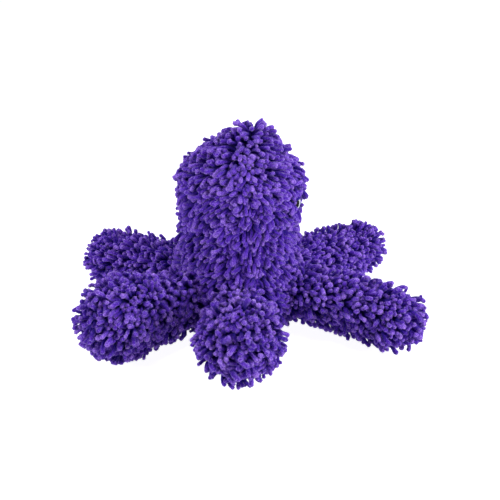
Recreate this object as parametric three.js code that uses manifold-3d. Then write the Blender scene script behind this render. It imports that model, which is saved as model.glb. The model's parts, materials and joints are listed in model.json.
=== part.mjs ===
// A plush octopus toy for a dog: a sewn head on a flat base, six stuffed arms that lie on the floor,
// two felt eyes in the pile and a bellows squeaker in the middle of the head's stuffing.
// Millimetres, +Z up. The origin is on the floor under the middle of the head, and the face looks along -Y,
// so the toy's right arm points along -X.
import * as THREE from "three";
import { mergeVertices } from "three/addons/utils/BufferGeometryUtils.js";
import Module from "manifold-3d";

const wasm = await Module();
wasm.setup();

// Fabric: the pile of chenille fingers on its backing, and the running gap between neighbouring pieces.
const pileHeight = 8;
const backingThickness = 1;
const coverThickness = pileHeight + backingThickness;
const seatGap = 0.3;

// Head: a sewn sack that stands on its base panel.
const headRadius = 44;
const headHeight = 149;
const basePanelThickness = 6;
const crownLean = 11;
const cheekSwell = 3.5;

// The head's outline from the middle of the base up to the crown, as shares of its radius and its height.
const headReachShares = [0.95, 1.06, 1.12, 1.11, 1.02, 1.0, 0.99, 1.01, 0.98, 0.89, 0.72, 0.49, 0.27];
const headLevelShares = [0, 0.04, 0.12, 0.24, 0.36, 0.46, 0.56, 0.66, 0.74, 0.8, 0.86, 0.92, 0.97];
const crownStartShare = 0.8;
const cheekLevelShare = 0.7;
const cheekSpreadShare = 0.16;

// Arms: all six are cut from one pattern, and the stuffing makes some fatter or longer than others.
const armLength = 69;
const armRadius = 28;
const armNeckRadius = 24;
const armRootSetOut = 19.5;
const armRootHeight = 26;
const armSwellLength = 26;
const floorPress = 0.5;
const neckFollowShare = 0.5;

// Each arm: its heading in degrees, its length and girth as shares of the pattern's, and its sideways bend
// in degrees, which is positive anticlockwise from above.
const arms = [
  { side: "right", heading: 180, lengthShare: 0.72, girthShare: 1.13, bend: 5 },
  { side: "back_right", heading: 125, lengthShare: 0.93, girthShare: 1.08, bend: 6 },
  { side: "back_left", heading: 65, lengthShare: 1.04, girthShare: 0.88, bend: 4 },
  { side: "left", heading: 0, lengthShare: 1.0, girthShare: 0.95, bend: 0 },
  { side: "front_left", heading: -57, lengthShare: 1.14, girthShare: 0.82, bend: 0 },
  { side: "front_right", heading: -110, lengthShare: 1.05, girthShare: 0.79, bend: -22 },
];

// Eyes: a pale felt disc with a dark pupil on it, each down in a clipped ring of the pile.
const eyeRadius = 5;
const eyeThickness = 1.2;
const pupilRadius = 2.9;
const pupilThickness = 0.9;
const eyeClearingRadius = 6.4;
const eyeSeatPile = 3;
const eyeHeight = 95;
const eyeSpreadAngle = 20;

// Squeaker: a moulded base that holds the reed, folded bellows, and the cap that a bite pushes down.
const squeakerRadius = 18;
const squeakerWall = 1.2;
const squeakerBaseHeight = 3;
const squeakerCapHeight = 2.4;
const bossHeight = 2.2;
const foldHeight = 5.6;
const foldDepth = 4.2;
const foldCount = 3;
const squeakerMiddleHeight = 76;
const soundHoleRadius = 3;
const reedHeight = 4.5;
const reedWall = 0.9;

// Facets.
const aroundHead = 32;
const aroundLining = 20;
const aroundArm = 16;
const aroundStuffing = 12;
const aroundHinge = 16;
const aroundSqueaker = 20;
const aroundEye = 16;
const capSteps = 3;
const bodySteps = 4;
const liningLevelStep = 2;

// How far a cutting solid runs past what it cuts.
const overrun = 20;

const fullTurn = Math.PI * 2;
const quarterTurn = Math.PI / 2;

const material = (color, roughness) => new THREE.MeshStandardMaterial({ color, roughness, metalness: 0 });
const chenille = material(0x4a318d, 0.95);
const fibrefill = material(0xedebe4, 1);
const paleFelt = material(0xd9d9de, 0.95);
const darkFelt = material(0x17151b, 0.9);
const softPlastic = material(0xe6e2d4, 0.45);

const part = new THREE.Group();

// A closed surface from a first pole over rings of equal counts to a last pole. Each ring runs
// anticlockwise as seen from the last pole.
function closedSurface(firstPole, rings, lastPole) {
  const points = [firstPole, ...rings.flat(), lastPole];
  const count = rings[0].length;
  const last = points.length - 1;
  const at = (ring, i) => 1 + ring * count + (i % count);
  const index = [];
  for (let i = 0; i < count; i++) {
    index.push(0, at(0, i + 1), at(0, i));
    for (let ring = 0; ring + 1 < rings.length; ring++) {
      index.push(at(ring, i), at(ring, i + 1), at(ring + 1, i + 1));
      index.push(at(ring, i), at(ring + 1, i + 1), at(ring + 1, i));
    }
    index.push(last, at(rings.length - 1, i), at(rings.length - 1, i + 1));
  }
  const geometry = new THREE.BufferGeometry().setFromPoints(points);
  geometry.setIndex(index);
  return geometry;
}

function solidOf(geometry) {
  const bare = geometry.clone();
  bare.deleteAttribute("normal");
  bare.deleteAttribute("uv");
  const merged = mergeVertices(bare);
  return new wasm.Manifold(
    new wasm.Mesh({
      numProp: 3,
      vertProperties: merged.attributes.position.array,
      triVerts: new Uint32Array(merged.index.array),
    }),
  );
}

function addPiece(name, solid, finish) {
  const { vertProperties, triVerts } = solid.getMesh();
  const geometry = new THREE.BufferGeometry();
  geometry.setAttribute("position", new THREE.BufferAttribute(vertProperties, 3));
  geometry.setIndex(new THREE.BufferAttribute(triVerts, 1));
  const mesh = new THREE.Mesh(geometry, finish);
  mesh.name = name;
  part.add(mesh);
}

// Everything between two heights, out to past the arms' tips.
function layer(low, high) {
  const span = 4 * (headRadius + armRootSetOut + armLength);
  return solidOf(new THREE.BoxGeometry(span, span, high - low).translate(0, 0, (low + high) / 2));
}

// The wedge between two headings, its flat sides drawn in by half a gap, over the whole height.
function wedge(start, end) {
  const half = (end - start) / 2;
  const middle = start + half;
  const far = 2 * (headRadius + armRootSetOut + armLength);
  const outline = new THREE.Shape();
  outline.moveTo(0, 0);
  for (const heading of [start, middle, end]) {
    outline.lineTo(far * Math.cos(heading), far * Math.sin(heading));
  }
  const inset = seatGap / 2 / Math.sin(half);
  const depth = headHeight + 2 * overrun;
  const geometry = new THREE.ExtrudeGeometry(outline, { depth, bevelEnabled: false });
  geometry.translate(inset * Math.cos(middle), inset * Math.sin(middle), -overrun);
  return solidOf(geometry);
}

const smooth = (share) => THREE.MathUtils.smoothstep(share, 0, 1);

// The head's middle leans towards the face from crownStartShare up to the crown.
const headMiddle = (levelShare) => {
  return -crownLean * (Math.max(0, levelShare - crownStartShare) / (1 - crownStartShare)) ** 2;
};

// The head's outline as [reach, height] points, with the way out of the surface at each.
const headOutline = headReachShares.map((share, k) => {
  return new THREE.Vector2(share * headRadius, headLevelShares[k] * headHeight);
});
const headNormals = headOutline.map((point, k) => {
  const below = headOutline[k - 1] ?? new THREE.Vector2(0, 0);
  const above = headOutline[k + 1] ?? new THREE.Vector2(0, headHeight);
  return new THREE.Vector2(above.y - below.y, below.x - above.x).normalize();
});

// A point of the head's ring k, drawn in by a depth and swollen at the cheeks on the face's side.
function headPoint(k, heading, drawnIn) {
  const faceward = Math.max(0, -Math.sin(heading));
  const cheekFade = ((headLevelShares[k] - cheekLevelShare) / cheekSpreadShare) ** 2;
  const cheek = cheekSwell * faceward * Math.exp(-cheekFade);
  const reach = headOutline[k].x + cheek - drawnIn * headNormals[k].x;
  const level = headOutline[k].y - drawnIn * headNormals[k].y;
  const aside = headMiddle(headLevelShares[k]);
  return new THREE.Vector3(reach * Math.cos(heading), aside + reach * Math.sin(heading), level);
}

function headForm(drawnIn, around, levelStep) {
  const rings = [];
  for (let k = 0; k < headOutline.length; k += levelStep) {
    const ring = [];
    for (let i = 0; i < around; i++) {
      ring.push(headPoint(k, (fullTurn * i) / around, drawnIn));
    }
    rings.push(ring);
  }
  const floorPole = new THREE.Vector3(0, 0, drawnIn);
  const crownPole = new THREE.Vector3(0, headMiddle(1), headHeight - drawnIn);
  return solidOf(closedSurface(floorPole, rings, crownPole));
}

// Where an arm hinges on the head, and what its stuffing makes of the pattern.
function armFrame(arm) {
  const heading = THREE.MathUtils.degToRad(arm.heading);
  const reach = headRadius + armRootSetOut;
  const radius = armRadius * arm.girthShare;
  return {
    heading,
    root: new THREE.Vector3(reach * Math.cos(heading), reach * Math.sin(heading), armRootHeight),
    radius,
    neckRadius: armNeckRadius * (1 + neckFollowShare * (arm.girthShare - 1)),
    length: armLength * arm.lengthShare - radius,
    lift: radius - floorPress - armRootHeight,
    bend: THREE.MathUtils.degToRad(arm.bend),
  };
}

// The arm's middle line, a slight bend that sinks or rises from the root to lie on the floor.
function armMiddle(frame, along) {
  const forward = Math.max(0, along);
  const aside = (frame.bend * forward * forward) / (2 * frame.length);
  const rise = frame.lift * smooth(forward / armSwellLength);
  const ahead = new THREE.Vector3(Math.cos(frame.heading), Math.sin(frame.heading), 0);
  const left = new THREE.Vector3(-Math.sin(frame.heading), Math.cos(frame.heading), 0);
  const middle = frame.root.clone().addScaledVector(ahead, along).addScaledVector(left, aside);
  return middle.setZ(frame.root.z + rise);
}

// The round end of an arm: cosine and sine of even steps of a quarter turn, without the pole.
const capTurns = Array.from({ length: capSteps - 1 }, (_, k) => (quarterTurn * (k + 1)) / capSteps);

// An arm's body swells from the neck to the full radius and ends in a round tip, all grown by a depth.
// It starts behind the hinge, with a round end or with a cone that its root ball covers.
function armBody(arm, grown, around, roundStart) {
  const frame = armFrame(arm);
  const neck = frame.neckRadius + grown;
  const full = frame.radius + grown;
  const start = capTurns.map((turn) => [-neck * Math.cos(turn), neck * Math.sin(turn)]);
  const stations = roundStart ? start : [];
  stations.push([0, neck]);
  for (let k = 1; k <= bodySteps; k++) {
    const along = (frame.length * k) / bodySteps;
    stations.push([along, neck + (full - neck) * smooth(along / armSwellLength)]);
  }
  stations.push(...capTurns.map((turn) => [frame.length + full * Math.sin(turn), full * Math.cos(turn)]));
  const rings = stations.map(([along, radius]) => {
    const middle = armMiddle(frame, along);
    const heading = frame.heading + (frame.bend * Math.max(0, along)) / frame.length;
    const ring = [];
    for (let i = 0; i < around; i++) {
      const turn = (fullTurn * i) / around;
      const aside = radius * Math.cos(turn);
      const up = radius * Math.sin(turn);
      const offset = new THREE.Vector3(-aside * Math.sin(heading), aside * Math.cos(heading), up);
      ring.push(middle.clone().add(offset));
    }
    return ring;
  });
  const back = roundStart ? neck : neck / 2;
  return solidOf(closedSurface(armMiddle(frame, -back), rings, armMiddle(frame, frame.length + full)));
}

// The ball at an arm's root, turned about the hinge's axis so that it swings in its socket. Widened is how
// much more than the ball's the reach from the axis is, which keeps a facet's flat clear of an edge.
function rootBall(arm, grown, widened) {
  const frame = armFrame(arm);
  const radius = frame.neckRadius + grown;
  const outline = [];
  const steps = aroundArm / 2;
  for (let k = 0; k <= steps; k++) {
    const turn = (Math.PI * k) / steps;
    outline.push(new THREE.Vector2(widened * radius * Math.sin(turn), -radius * Math.cos(turn)));
  }
  const geometry = new THREE.LatheGeometry(outline, aroundHinge);
  geometry.rotateZ(frame.heading);
  geometry.translate(frame.root.x, frame.root.y, frame.root.z);
  return solidOf(geometry);
}

const armForm = (arm) => rootBall(arm, 0, 1).add(armBody(arm, 0, aroundArm, false));

// The room that an arm needs in the head: its socket, and its body at rest.
function armSocket(arm) {
  const socket = rootBall(arm, seatGap, 1 / Math.cos(Math.PI / aroundHinge));
  return socket.add(armBody(arm, seatGap, aroundArm, false));
}

// A wedge round one arm, which ends halfway to the arms on both sides.
function armWedge(i) {
  const headings = arms.map((arm) => arm.heading);
  const before = headings[(i + 1) % arms.length];
  const after = headings[(i + arms.length - 1) % arms.length];
  const turnTo = (other) => THREE.MathUtils.euclideanModulo(other - headings[i] + 180, 360) - 180;
  const start = headings[i] + turnTo(before) / 2;
  const end = headings[i] + turnTo(after) / 2;
  return wedge(THREE.MathUtils.degToRad(start), THREE.MathUtils.degToRad(end));
}

const aboveFloor = layer(0, headHeight + overrun);
const sockets = arms.map(armSocket);
const cutSockets = (solid) => sockets.reduce((left, socket) => left.subtract(socket), solid);

// A round solid on the vertical axis: the outline is [reach, height] pairs that start and end on the axis,
// or that close on themselves as a ring does.
function turned(outline) {
  const points = outline.map(([reach, height]) => new THREE.Vector2(reach, height));
  return solidOf(new THREE.LatheGeometry(points, aroundSqueaker).rotateX(quarterTurn));
}

function disc(radius, low, high) {
  return turned([
    [0, low],
    [radius, low],
    [radius, high],
    [0, high],
  ]);
}

// Squeaker levels, from the middle of its height.
const bellowsHeight = foldHeight * foldCount;
const bellowsLow = squeakerMiddleHeight - bellowsHeight / 2;
const bellowsHigh = bellowsLow + bellowsHeight;
const capLow = bellowsHigh + seatGap;
const capHigh = capLow + squeakerCapHeight;
const squeakerBaseHigh = bellowsLow - seatGap;
const squeakerBaseLow = squeakerBaseHigh - squeakerBaseHeight;
const boreRadius = squeakerRadius - foldDepth - squeakerWall;

function addSqueaker() {
  const bossRadius = boreRadius - seatGap;
  const baseBoss = disc(bossRadius, squeakerBaseLow, squeakerBaseHigh + bossHeight);
  const soundHole = disc(soundHoleRadius + seatGap, squeakerBaseLow - overrun, squeakerBaseHigh + overrun);
  const plate = disc(squeakerRadius, squeakerBaseLow, squeakerBaseHigh);
  addPiece("squeaker_base", plate.add(baseBoss).subtract(soundHole), softPlastic);

  const reedHigh = squeakerBaseHigh + bossHeight + reedHeight;
  const reedBore = disc(soundHoleRadius - reedWall, squeakerBaseLow - overrun, reedHigh + overrun);
  addPiece("squeaker_reed", disc(soundHoleRadius, squeakerBaseLow, reedHigh).subtract(reedBore), softPlastic);

  const outside = [];
  const inside = [];
  for (let k = 0; k <= 2 * foldCount; k++) {
    const height = bellowsLow + (foldHeight * k) / 2;
    const reach = k % 2 === 1 ? squeakerRadius : boreRadius + squeakerWall;
    outside.push([reach, height]);
    inside.unshift([reach - squeakerWall, height]);
  }
  addPiece("squeaker_bellows", turned([...outside, ...inside, outside[0]]), softPlastic);

  const capPlate = disc(squeakerRadius, capLow, capHigh);
  const capBoss = disc(bossRadius, capLow - bossHeight, capHigh);
  addPiece("squeaker_cap", capPlate.add(capBoss), softPlastic);
}

// An upright cylinder laid along a heading, from one reach to another, at the eyes' height.
function eyeDisc(heading, middle, radius, from, to) {
  const geometry = new THREE.CylinderGeometry(radius, radius, to - from, aroundEye);
  geometry.translate(0, (from + to) / 2, 0);
  geometry.rotateZ(-quarterTurn);
  geometry.rotateZ(heading);
  geometry.translate(0, middle, eyeHeight);
  return solidOf(geometry);
}

// Each eye lies on flattened pile, at the bottom of a clearing in the pile of the face gore.
const eyes = [1, -1].map((way) => {
  const heading = -quarterTurn + way * THREE.MathUtils.degToRad(eyeSpreadAngle);
  const above = headOutline.findIndex((point) => point.y > eyeHeight);
  const lower = headPoint(above - 1, heading, 0);
  const upper = headPoint(above, heading, 0);
  const skin = lower.clone().lerp(upper, (eyeHeight - lower.z) / (upper.z - lower.z));
  const middle = headMiddle(eyeHeight / headHeight);
  const reach = Math.hypot(skin.x, skin.y - middle) - pileHeight + eyeSeatPile;
  return { side: way > 0 ? "left" : "right", heading, middle, reach };
});

function addEyes() {
  for (const { side, heading, middle, reach } of eyes) {
    const eyeBack = reach + seatGap;
    const eyeFront = eyeBack + eyeThickness;
    const pupilBack = eyeFront + seatGap;
    addPiece(`eye_white_${side}`, eyeDisc(heading, middle, eyeRadius, eyeBack, eyeFront), paleFelt);
    const pupil = eyeDisc(heading, middle, pupilRadius, pupilBack, pupilBack + pupilThickness);
    addPiece(`eye_pupil_${side}`, pupil, darkFelt);
  }
}

function addHead() {
  const outer = cutSockets(headForm(0, aroundHead, 1).intersect(aboveFloor));
  const base = outer.intersect(layer(-overrun, basePanelThickness));
  addPiece("base_panel", base, chenille);

  const aboveBase = layer(basePanelThickness + seatGap, headHeight + overrun);
  let cover = outer.intersect(aboveBase).subtract(headForm(coverThickness, aroundLining, liningLevelStep));
  for (const { heading, middle, reach } of eyes) {
    cover = cover.subtract(eyeDisc(heading, middle, eyeClearingRadius, reach, reach + pileHeight + overrun));
  }
  const gores = ["left", "back", "right", "face"];
  gores.forEach((name, k) => {
    const heading = quarterTurn * k;
    const gore = cover.intersect(wedge(heading - quarterTurn / 2, heading + quarterTurn / 2));
    addPiece(`head_gore_${name}`, gore, chenille);
  });

  const pocketRadius = squeakerRadius + seatGap;
  const pocket = disc(pocketRadius, squeakerBaseLow - seatGap, capHigh + seatGap);
  const fill = cutSockets(headForm(coverThickness + seatGap, aroundLining, liningLevelStep)).subtract(pocket);
  const lower = fill.intersect(layer(basePanelThickness + seatGap, squeakerMiddleHeight - seatGap / 2));
  addPiece("head_stuffing_lower", lower, fibrefill);
  const upper = fill.intersect(layer(squeakerMiddleHeight + seatGap / 2, headHeight));
  addPiece("head_stuffing_upper", upper, fibrefill);
}

function addArms() {
  arms.forEach((arm, i) => {
    const room = armWedge(i).intersect(aboveFloor);
    const cover = armForm(arm).intersect(room);
    const lining = armBody(arm, -coverThickness, aroundStuffing, true);
    const shell = cover.subtract(lining);
    const top = shell.intersect(layer(armRootHeight + seatGap / 2, headHeight));
    const under = shell.intersect(layer(-overrun, armRootHeight - seatGap / 2));
    addPiece(`arm_${arm.side}_top_cover`, top, chenille);
    addPiece(`arm_${arm.side}_under_cover`, under, chenille);
    const fill = armBody(arm, -coverThickness - seatGap, aroundStuffing, true).intersect(room);
    addPiece(`arm_${arm.side}_stuffing`, fill, fibrefill);
  });
}

addHead();
addEyes();
addSqueaker();
addArms();

export default part;
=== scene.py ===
"""Dresses the plush octopus: chenille pile on its sewn panels, felt eyes, fibre fill, squeaker and studio.

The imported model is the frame. Every length is in metres, +Z is up, the face looks along -Y, and each piece
has its place in its own mesh. The pile is worked out with numpy: each chenille finger is a chain of points
rooted in the backing, and all the fingers are settled against each other before they get their skin.
"""

import json
import math
from collections import namedtuple

import bpy
import numpy as np
from bpy.props import FloatProperty, IntProperty, PointerProperty, StringProperty
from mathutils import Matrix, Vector


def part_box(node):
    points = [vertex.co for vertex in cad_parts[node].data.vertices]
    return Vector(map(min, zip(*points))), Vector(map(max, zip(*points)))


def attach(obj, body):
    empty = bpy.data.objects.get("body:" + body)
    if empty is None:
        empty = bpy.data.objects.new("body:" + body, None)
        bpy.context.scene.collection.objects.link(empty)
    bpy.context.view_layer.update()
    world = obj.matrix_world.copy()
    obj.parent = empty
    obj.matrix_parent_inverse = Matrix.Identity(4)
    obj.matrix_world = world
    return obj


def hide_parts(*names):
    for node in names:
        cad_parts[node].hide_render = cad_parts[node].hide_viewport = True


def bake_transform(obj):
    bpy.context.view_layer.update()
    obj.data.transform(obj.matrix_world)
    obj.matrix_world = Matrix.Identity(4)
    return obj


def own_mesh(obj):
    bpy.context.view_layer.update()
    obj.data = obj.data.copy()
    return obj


bl_info = {
    "name": "Chenille octopus",
    "version": (1, 0, 0),
    "blender": (4, 5, 0),
    "location": "3D View > Sidebar > Octopus",
    "description": "Pile, eyes, stuffing and finishes of a plush octopus",
    "category": "Mesh",
}

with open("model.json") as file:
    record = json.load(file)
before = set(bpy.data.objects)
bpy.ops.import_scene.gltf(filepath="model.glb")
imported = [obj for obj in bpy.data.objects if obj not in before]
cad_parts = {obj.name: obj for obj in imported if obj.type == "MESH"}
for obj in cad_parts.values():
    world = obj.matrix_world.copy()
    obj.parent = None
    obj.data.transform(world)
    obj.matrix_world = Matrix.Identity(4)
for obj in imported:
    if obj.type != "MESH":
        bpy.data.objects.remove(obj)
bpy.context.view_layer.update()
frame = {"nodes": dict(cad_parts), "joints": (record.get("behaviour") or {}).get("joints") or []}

MM = 0.001
TURN = 2 * math.pi
GOLDEN_TURN = math.pi * (3 - math.sqrt(5))
UP = np.array([0.0, 0.0, 1.0])
LEAST_LENGTH = 1e-6

# The head's pattern, as shares of its radius and height from the floor to the crown, and how it leans.
HEAD_REACH_SHARES = [0.95, 1.06, 1.12, 1.11, 1.02, 1.0, 0.99, 1.01, 0.98, 0.89, 0.72, 0.49, 0.27]
HEAD_LEVEL_SHARES = [0, 0.04, 0.12, 0.24, 0.36, 0.46, 0.56, 0.66, 0.74, 0.8, 0.86, 0.92, 0.97]
HEAD_RADIUS = 44 * MM
HEAD_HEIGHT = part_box("head_gore_face")[1][2]
CROWN_LEAN = 11 * MM
CROWN_START_SHARE = 0.8
CHEEK_SWELL = 3.5 * MM
CHEEK_LEVEL_SHARE = 0.7
CHEEK_SPREAD_SHARE = 0.16
GORE_HEADINGS = {"left": 0.0, "back": math.pi / 2, "right": math.pi, "face": -math.pi / 2}

# The arms' pattern. Each arm's heading, length, girth and bend are measured on its packed covers, and one
# arm bends further than they do.
ARM_SIDES = ["right", "back_right", "back_left", "left", "front_left", "front_right"]
ARM_BEND_TRIMS = {"front_right": math.radians(-7)}
ARM_NECK_RADIUS = 24 * MM
ARM_PATTERN_RADIUS = 28 * MM
NECK_FOLLOW_SHARE = 0.5
ARM_SWELL_LENGTH = 26 * MM
ARM_BACK_LENGTH = 24 * MM
FLOOR_PRESS = 0.5 * MM

# The backing, and how deep it and the stuffing lie under the pile's mean reach.
PILE_DEPTH = 8.7 * MM
STUFFING_DEPTH = 10 * MM
BACKING_THICKNESS = 1 * MM
BASE_LEVEL = 5 * MM
BASE_COLUMNS = 65
COVER_COLUMNS = 24

# The stuffing and its lumps.
SEAT_GAP = 0.3 * MM
ARM_STUFFING_BACK = 8 * MM
STUFFING_ROWS = 60
STUFFING_COLUMNS = 72
STUFFING_SEED = 11
LUMP_WAVES = 6
LUMP_PITCH = (9 * MM, 24 * MM)
LUMP_DEPTH = 3.5 * MM
LUMP_TURNS = (3, 9)

# The squeaker.
SQUEAKER_EDGE_ANGLE = math.radians(35)
BELLOWS_FOLDS = 3
BELLOWS_STEPS = 12
BELLOWS_COLUMNS = 64
BELLOWS_FOLD_DEPTH = 4.2 * MM
BELLOWS_WALL = 1.2 * MM

# The eyes: how they sit in the pile, and the felt discs' own form, as shares of their radius and of half
# their thickness.
EYE_SIDES = ("left", "right")
EYE_TURN = math.radians(18)
EYE_SINK = 1 * MM
EYE_CLEARING = 6.2 * MM
EYE_PRESS = 0.2
EYE_PRESS_REACH = 9 * MM
EYE_RIM_COVER = 0.42
EYE_RIM_COVER_START = 0.7
PUPIL_THIN_SHARE = 0.45
PUPIL_GLANCE = 0.7 * MM
EYE_STEPS = 48
EYE_BACK_REACHES = np.array([0, 0.4, 0.8])
EYE_RIM_ROWS = 7
EYE_RIM_SHARE = 0.1
EYE_CROWN_REACHES = np.array([0.85, 0.6, 0.3, 0])
EYE_CROWN_RISES = np.array([1.06, 1.12, 1.15, 1.16])
EYE_STRAY_SHARE = 0.012
EYE_STRAY_START = 0.7
EYE_SEED = 3

# The studio: where the camera looks, and each softbox's place and side. The floor glows more and more from
# the toy outwards.
AIM = Vector((0, 0, 0.05))
SENSOR_WIDTH = 36.0
FRAMING_SHIFT = (0.023, 0.007)
SOFTBOXES = {
    "above": ((-0.1, -0.05, 0.9), 0.36),
    "right": ((-0.4, -0.86, 0.36), 0.3),
    "left": ((-0.3, 0.88, 0.4), 0.3),
    "behind": ((0.85, 0.0, 0.5), 0.5),
}
WHITE = (1, 1, 1, 1)
FLOOR_COLOUR = (0.8, 0.8, 0.8, 1)
FLOOR_SHADE = (0.5, 0.5, 0.5, 1)
# The floor also glows for the toy's lighting rays: a glow that stands in for light bounced up off the floor.
FLOOR_BOUNCE_GLOW = 0.4
FLOOR_GLOW = 0.95
FLOOR_GLOW_START = 0.2
FLOOR_GLOW_END = 0.55
FLOOR_HALF = 6.0


def smooth(share):
    """Share squared times (3 - 2 share), held between 0 and 1."""
    share = np.clip(share, 0.0, 1.0)
    return share * share * (3.0 - 2.0 * share)


def unit(vectors):
    """Vectors over their own lengths."""
    return vectors / np.maximum(np.linalg.norm(vectors, axis=-1, keepdims=True), 1e-12)


def linear(hex_colour):
    """An sRGB hex colour as linear red, green, blue and alpha."""
    parts = np.array([int(hex_colour[k : k + 2], 16) for k in (1, 3, 5)]) / 255.0
    low = parts / 12.92
    high = ((parts + 0.055) / 1.055) ** 2.4
    return (*np.where(parts <= 0.04045, low, high), 1.0)


def mesh_points(thing):
    """The vertices of an object as an array."""
    points = np.empty(len(thing.data.vertices) * 3, np.float32)
    thing.data.vertices.foreach_get("co", points)
    return points.reshape(-1, 3).astype(float)


def joint_named(name):
    """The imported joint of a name."""
    return next(joint for joint in frame["joints"] if joint["name"] == name)


def read(table, at):
    """Rows of a table at fractional indexes, by straight lines between them."""
    start = np.clip(at.astype(int), 0, len(table) - 2)
    share = (at - start)[:, None]
    return table[start] * (1 - share) + table[start + 1] * share


def spline_weights(at, count):
    """Catmull-Rom weights that read count points at fractional indexes. The ends run straight on."""
    start = np.clip(np.floor(at).astype(int), 0, count - 2)
    t = at - start
    basis = [
        0.5 * t * (t * (2 - t) - 1),
        0.5 * (t * t * (3 * t - 5) + 2),
        0.5 * t * (t * (4 - 3 * t) + 1),
        0.5 * t * t * (t - 1),
    ]
    weights = np.zeros((len(at), count + 2))
    for k, part in enumerate(basis):
        weights[np.arange(len(at)), start + k] += part
    inner = weights[:, 1:-1]
    inner[:, 0] += 2 * weights[:, 0]
    inner[:, 1] -= weights[:, 0]
    inner[:, -1] += 2 * weights[:, -1]
    inner[:, -2] -= weights[:, -1]
    return inner


# Forms


def head_rows(depth, steps=96):
    """Rows of reach, level, middle and swelling from the floor to the crown, drawn in by depth.

    A Catmull-Rom curve runs through the pattern's points and over the crown, where it mirrors itself, and
    each of its points is then moved in along the curve's normal. The middle leans towards the face by the
    square of the way up the crown, and the cheeks swell there as a bell over the level. Both follow the
    level that a point had before it was drawn in.
    """
    reach = np.array(HEAD_REACH_SHARES) * HEAD_RADIUS
    level = np.array(HEAD_LEVEL_SHARES) * HEAD_HEIGHT
    points = np.stack([reach, level], axis=1)
    over_crown = np.array([[0.0, HEAD_HEIGHT], [-reach[-1], level[-1]]])
    at = np.linspace(0.0, len(points), steps)
    curve = spline_weights(at, len(points) + 2) @ np.concatenate([points, over_crown])
    along = np.gradient(curve, axis=0)
    normal = unit(np.stack([along[:, 1], -along[:, 0]], axis=1))
    normal[-1] = (0.0, 1.0)
    drawn = curve - depth * normal
    level_share = curve[:, 1] / HEAD_HEIGHT
    way = np.maximum(0.0, level_share - CROWN_START_SHARE) / (1 - CROWN_START_SHARE)
    bell = np.exp(-(((level_share - CHEEK_LEVEL_SHARE) / CHEEK_SPREAD_SHARE) ** 2))
    swelling = CHEEK_SWELL * bell * smooth(2 * curve[:, 0] / HEAD_RADIUS)
    return np.stack([drawn[:, 0], drawn[:, 1], -CROWN_LEAN * way**2, swelling], axis=1)


def faceward(heading):
    """How far a heading is turned to the face: the sine of it, and nothing on the back's side."""
    return np.maximum(0.0, -np.sin(heading))


def head_surface(rows, heading):
    """Points of the head: each row's reach with its swelling, turned to a heading round its middle."""
    reach, level, middle, swelling = np.moveaxis(rows, -1, 0)
    swollen = reach + swelling * faceward(heading)
    y = middle + swollen * np.sin(heading)
    return np.stack([swollen * np.cos(heading), y, level + 0 * heading], axis=-1)


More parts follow.
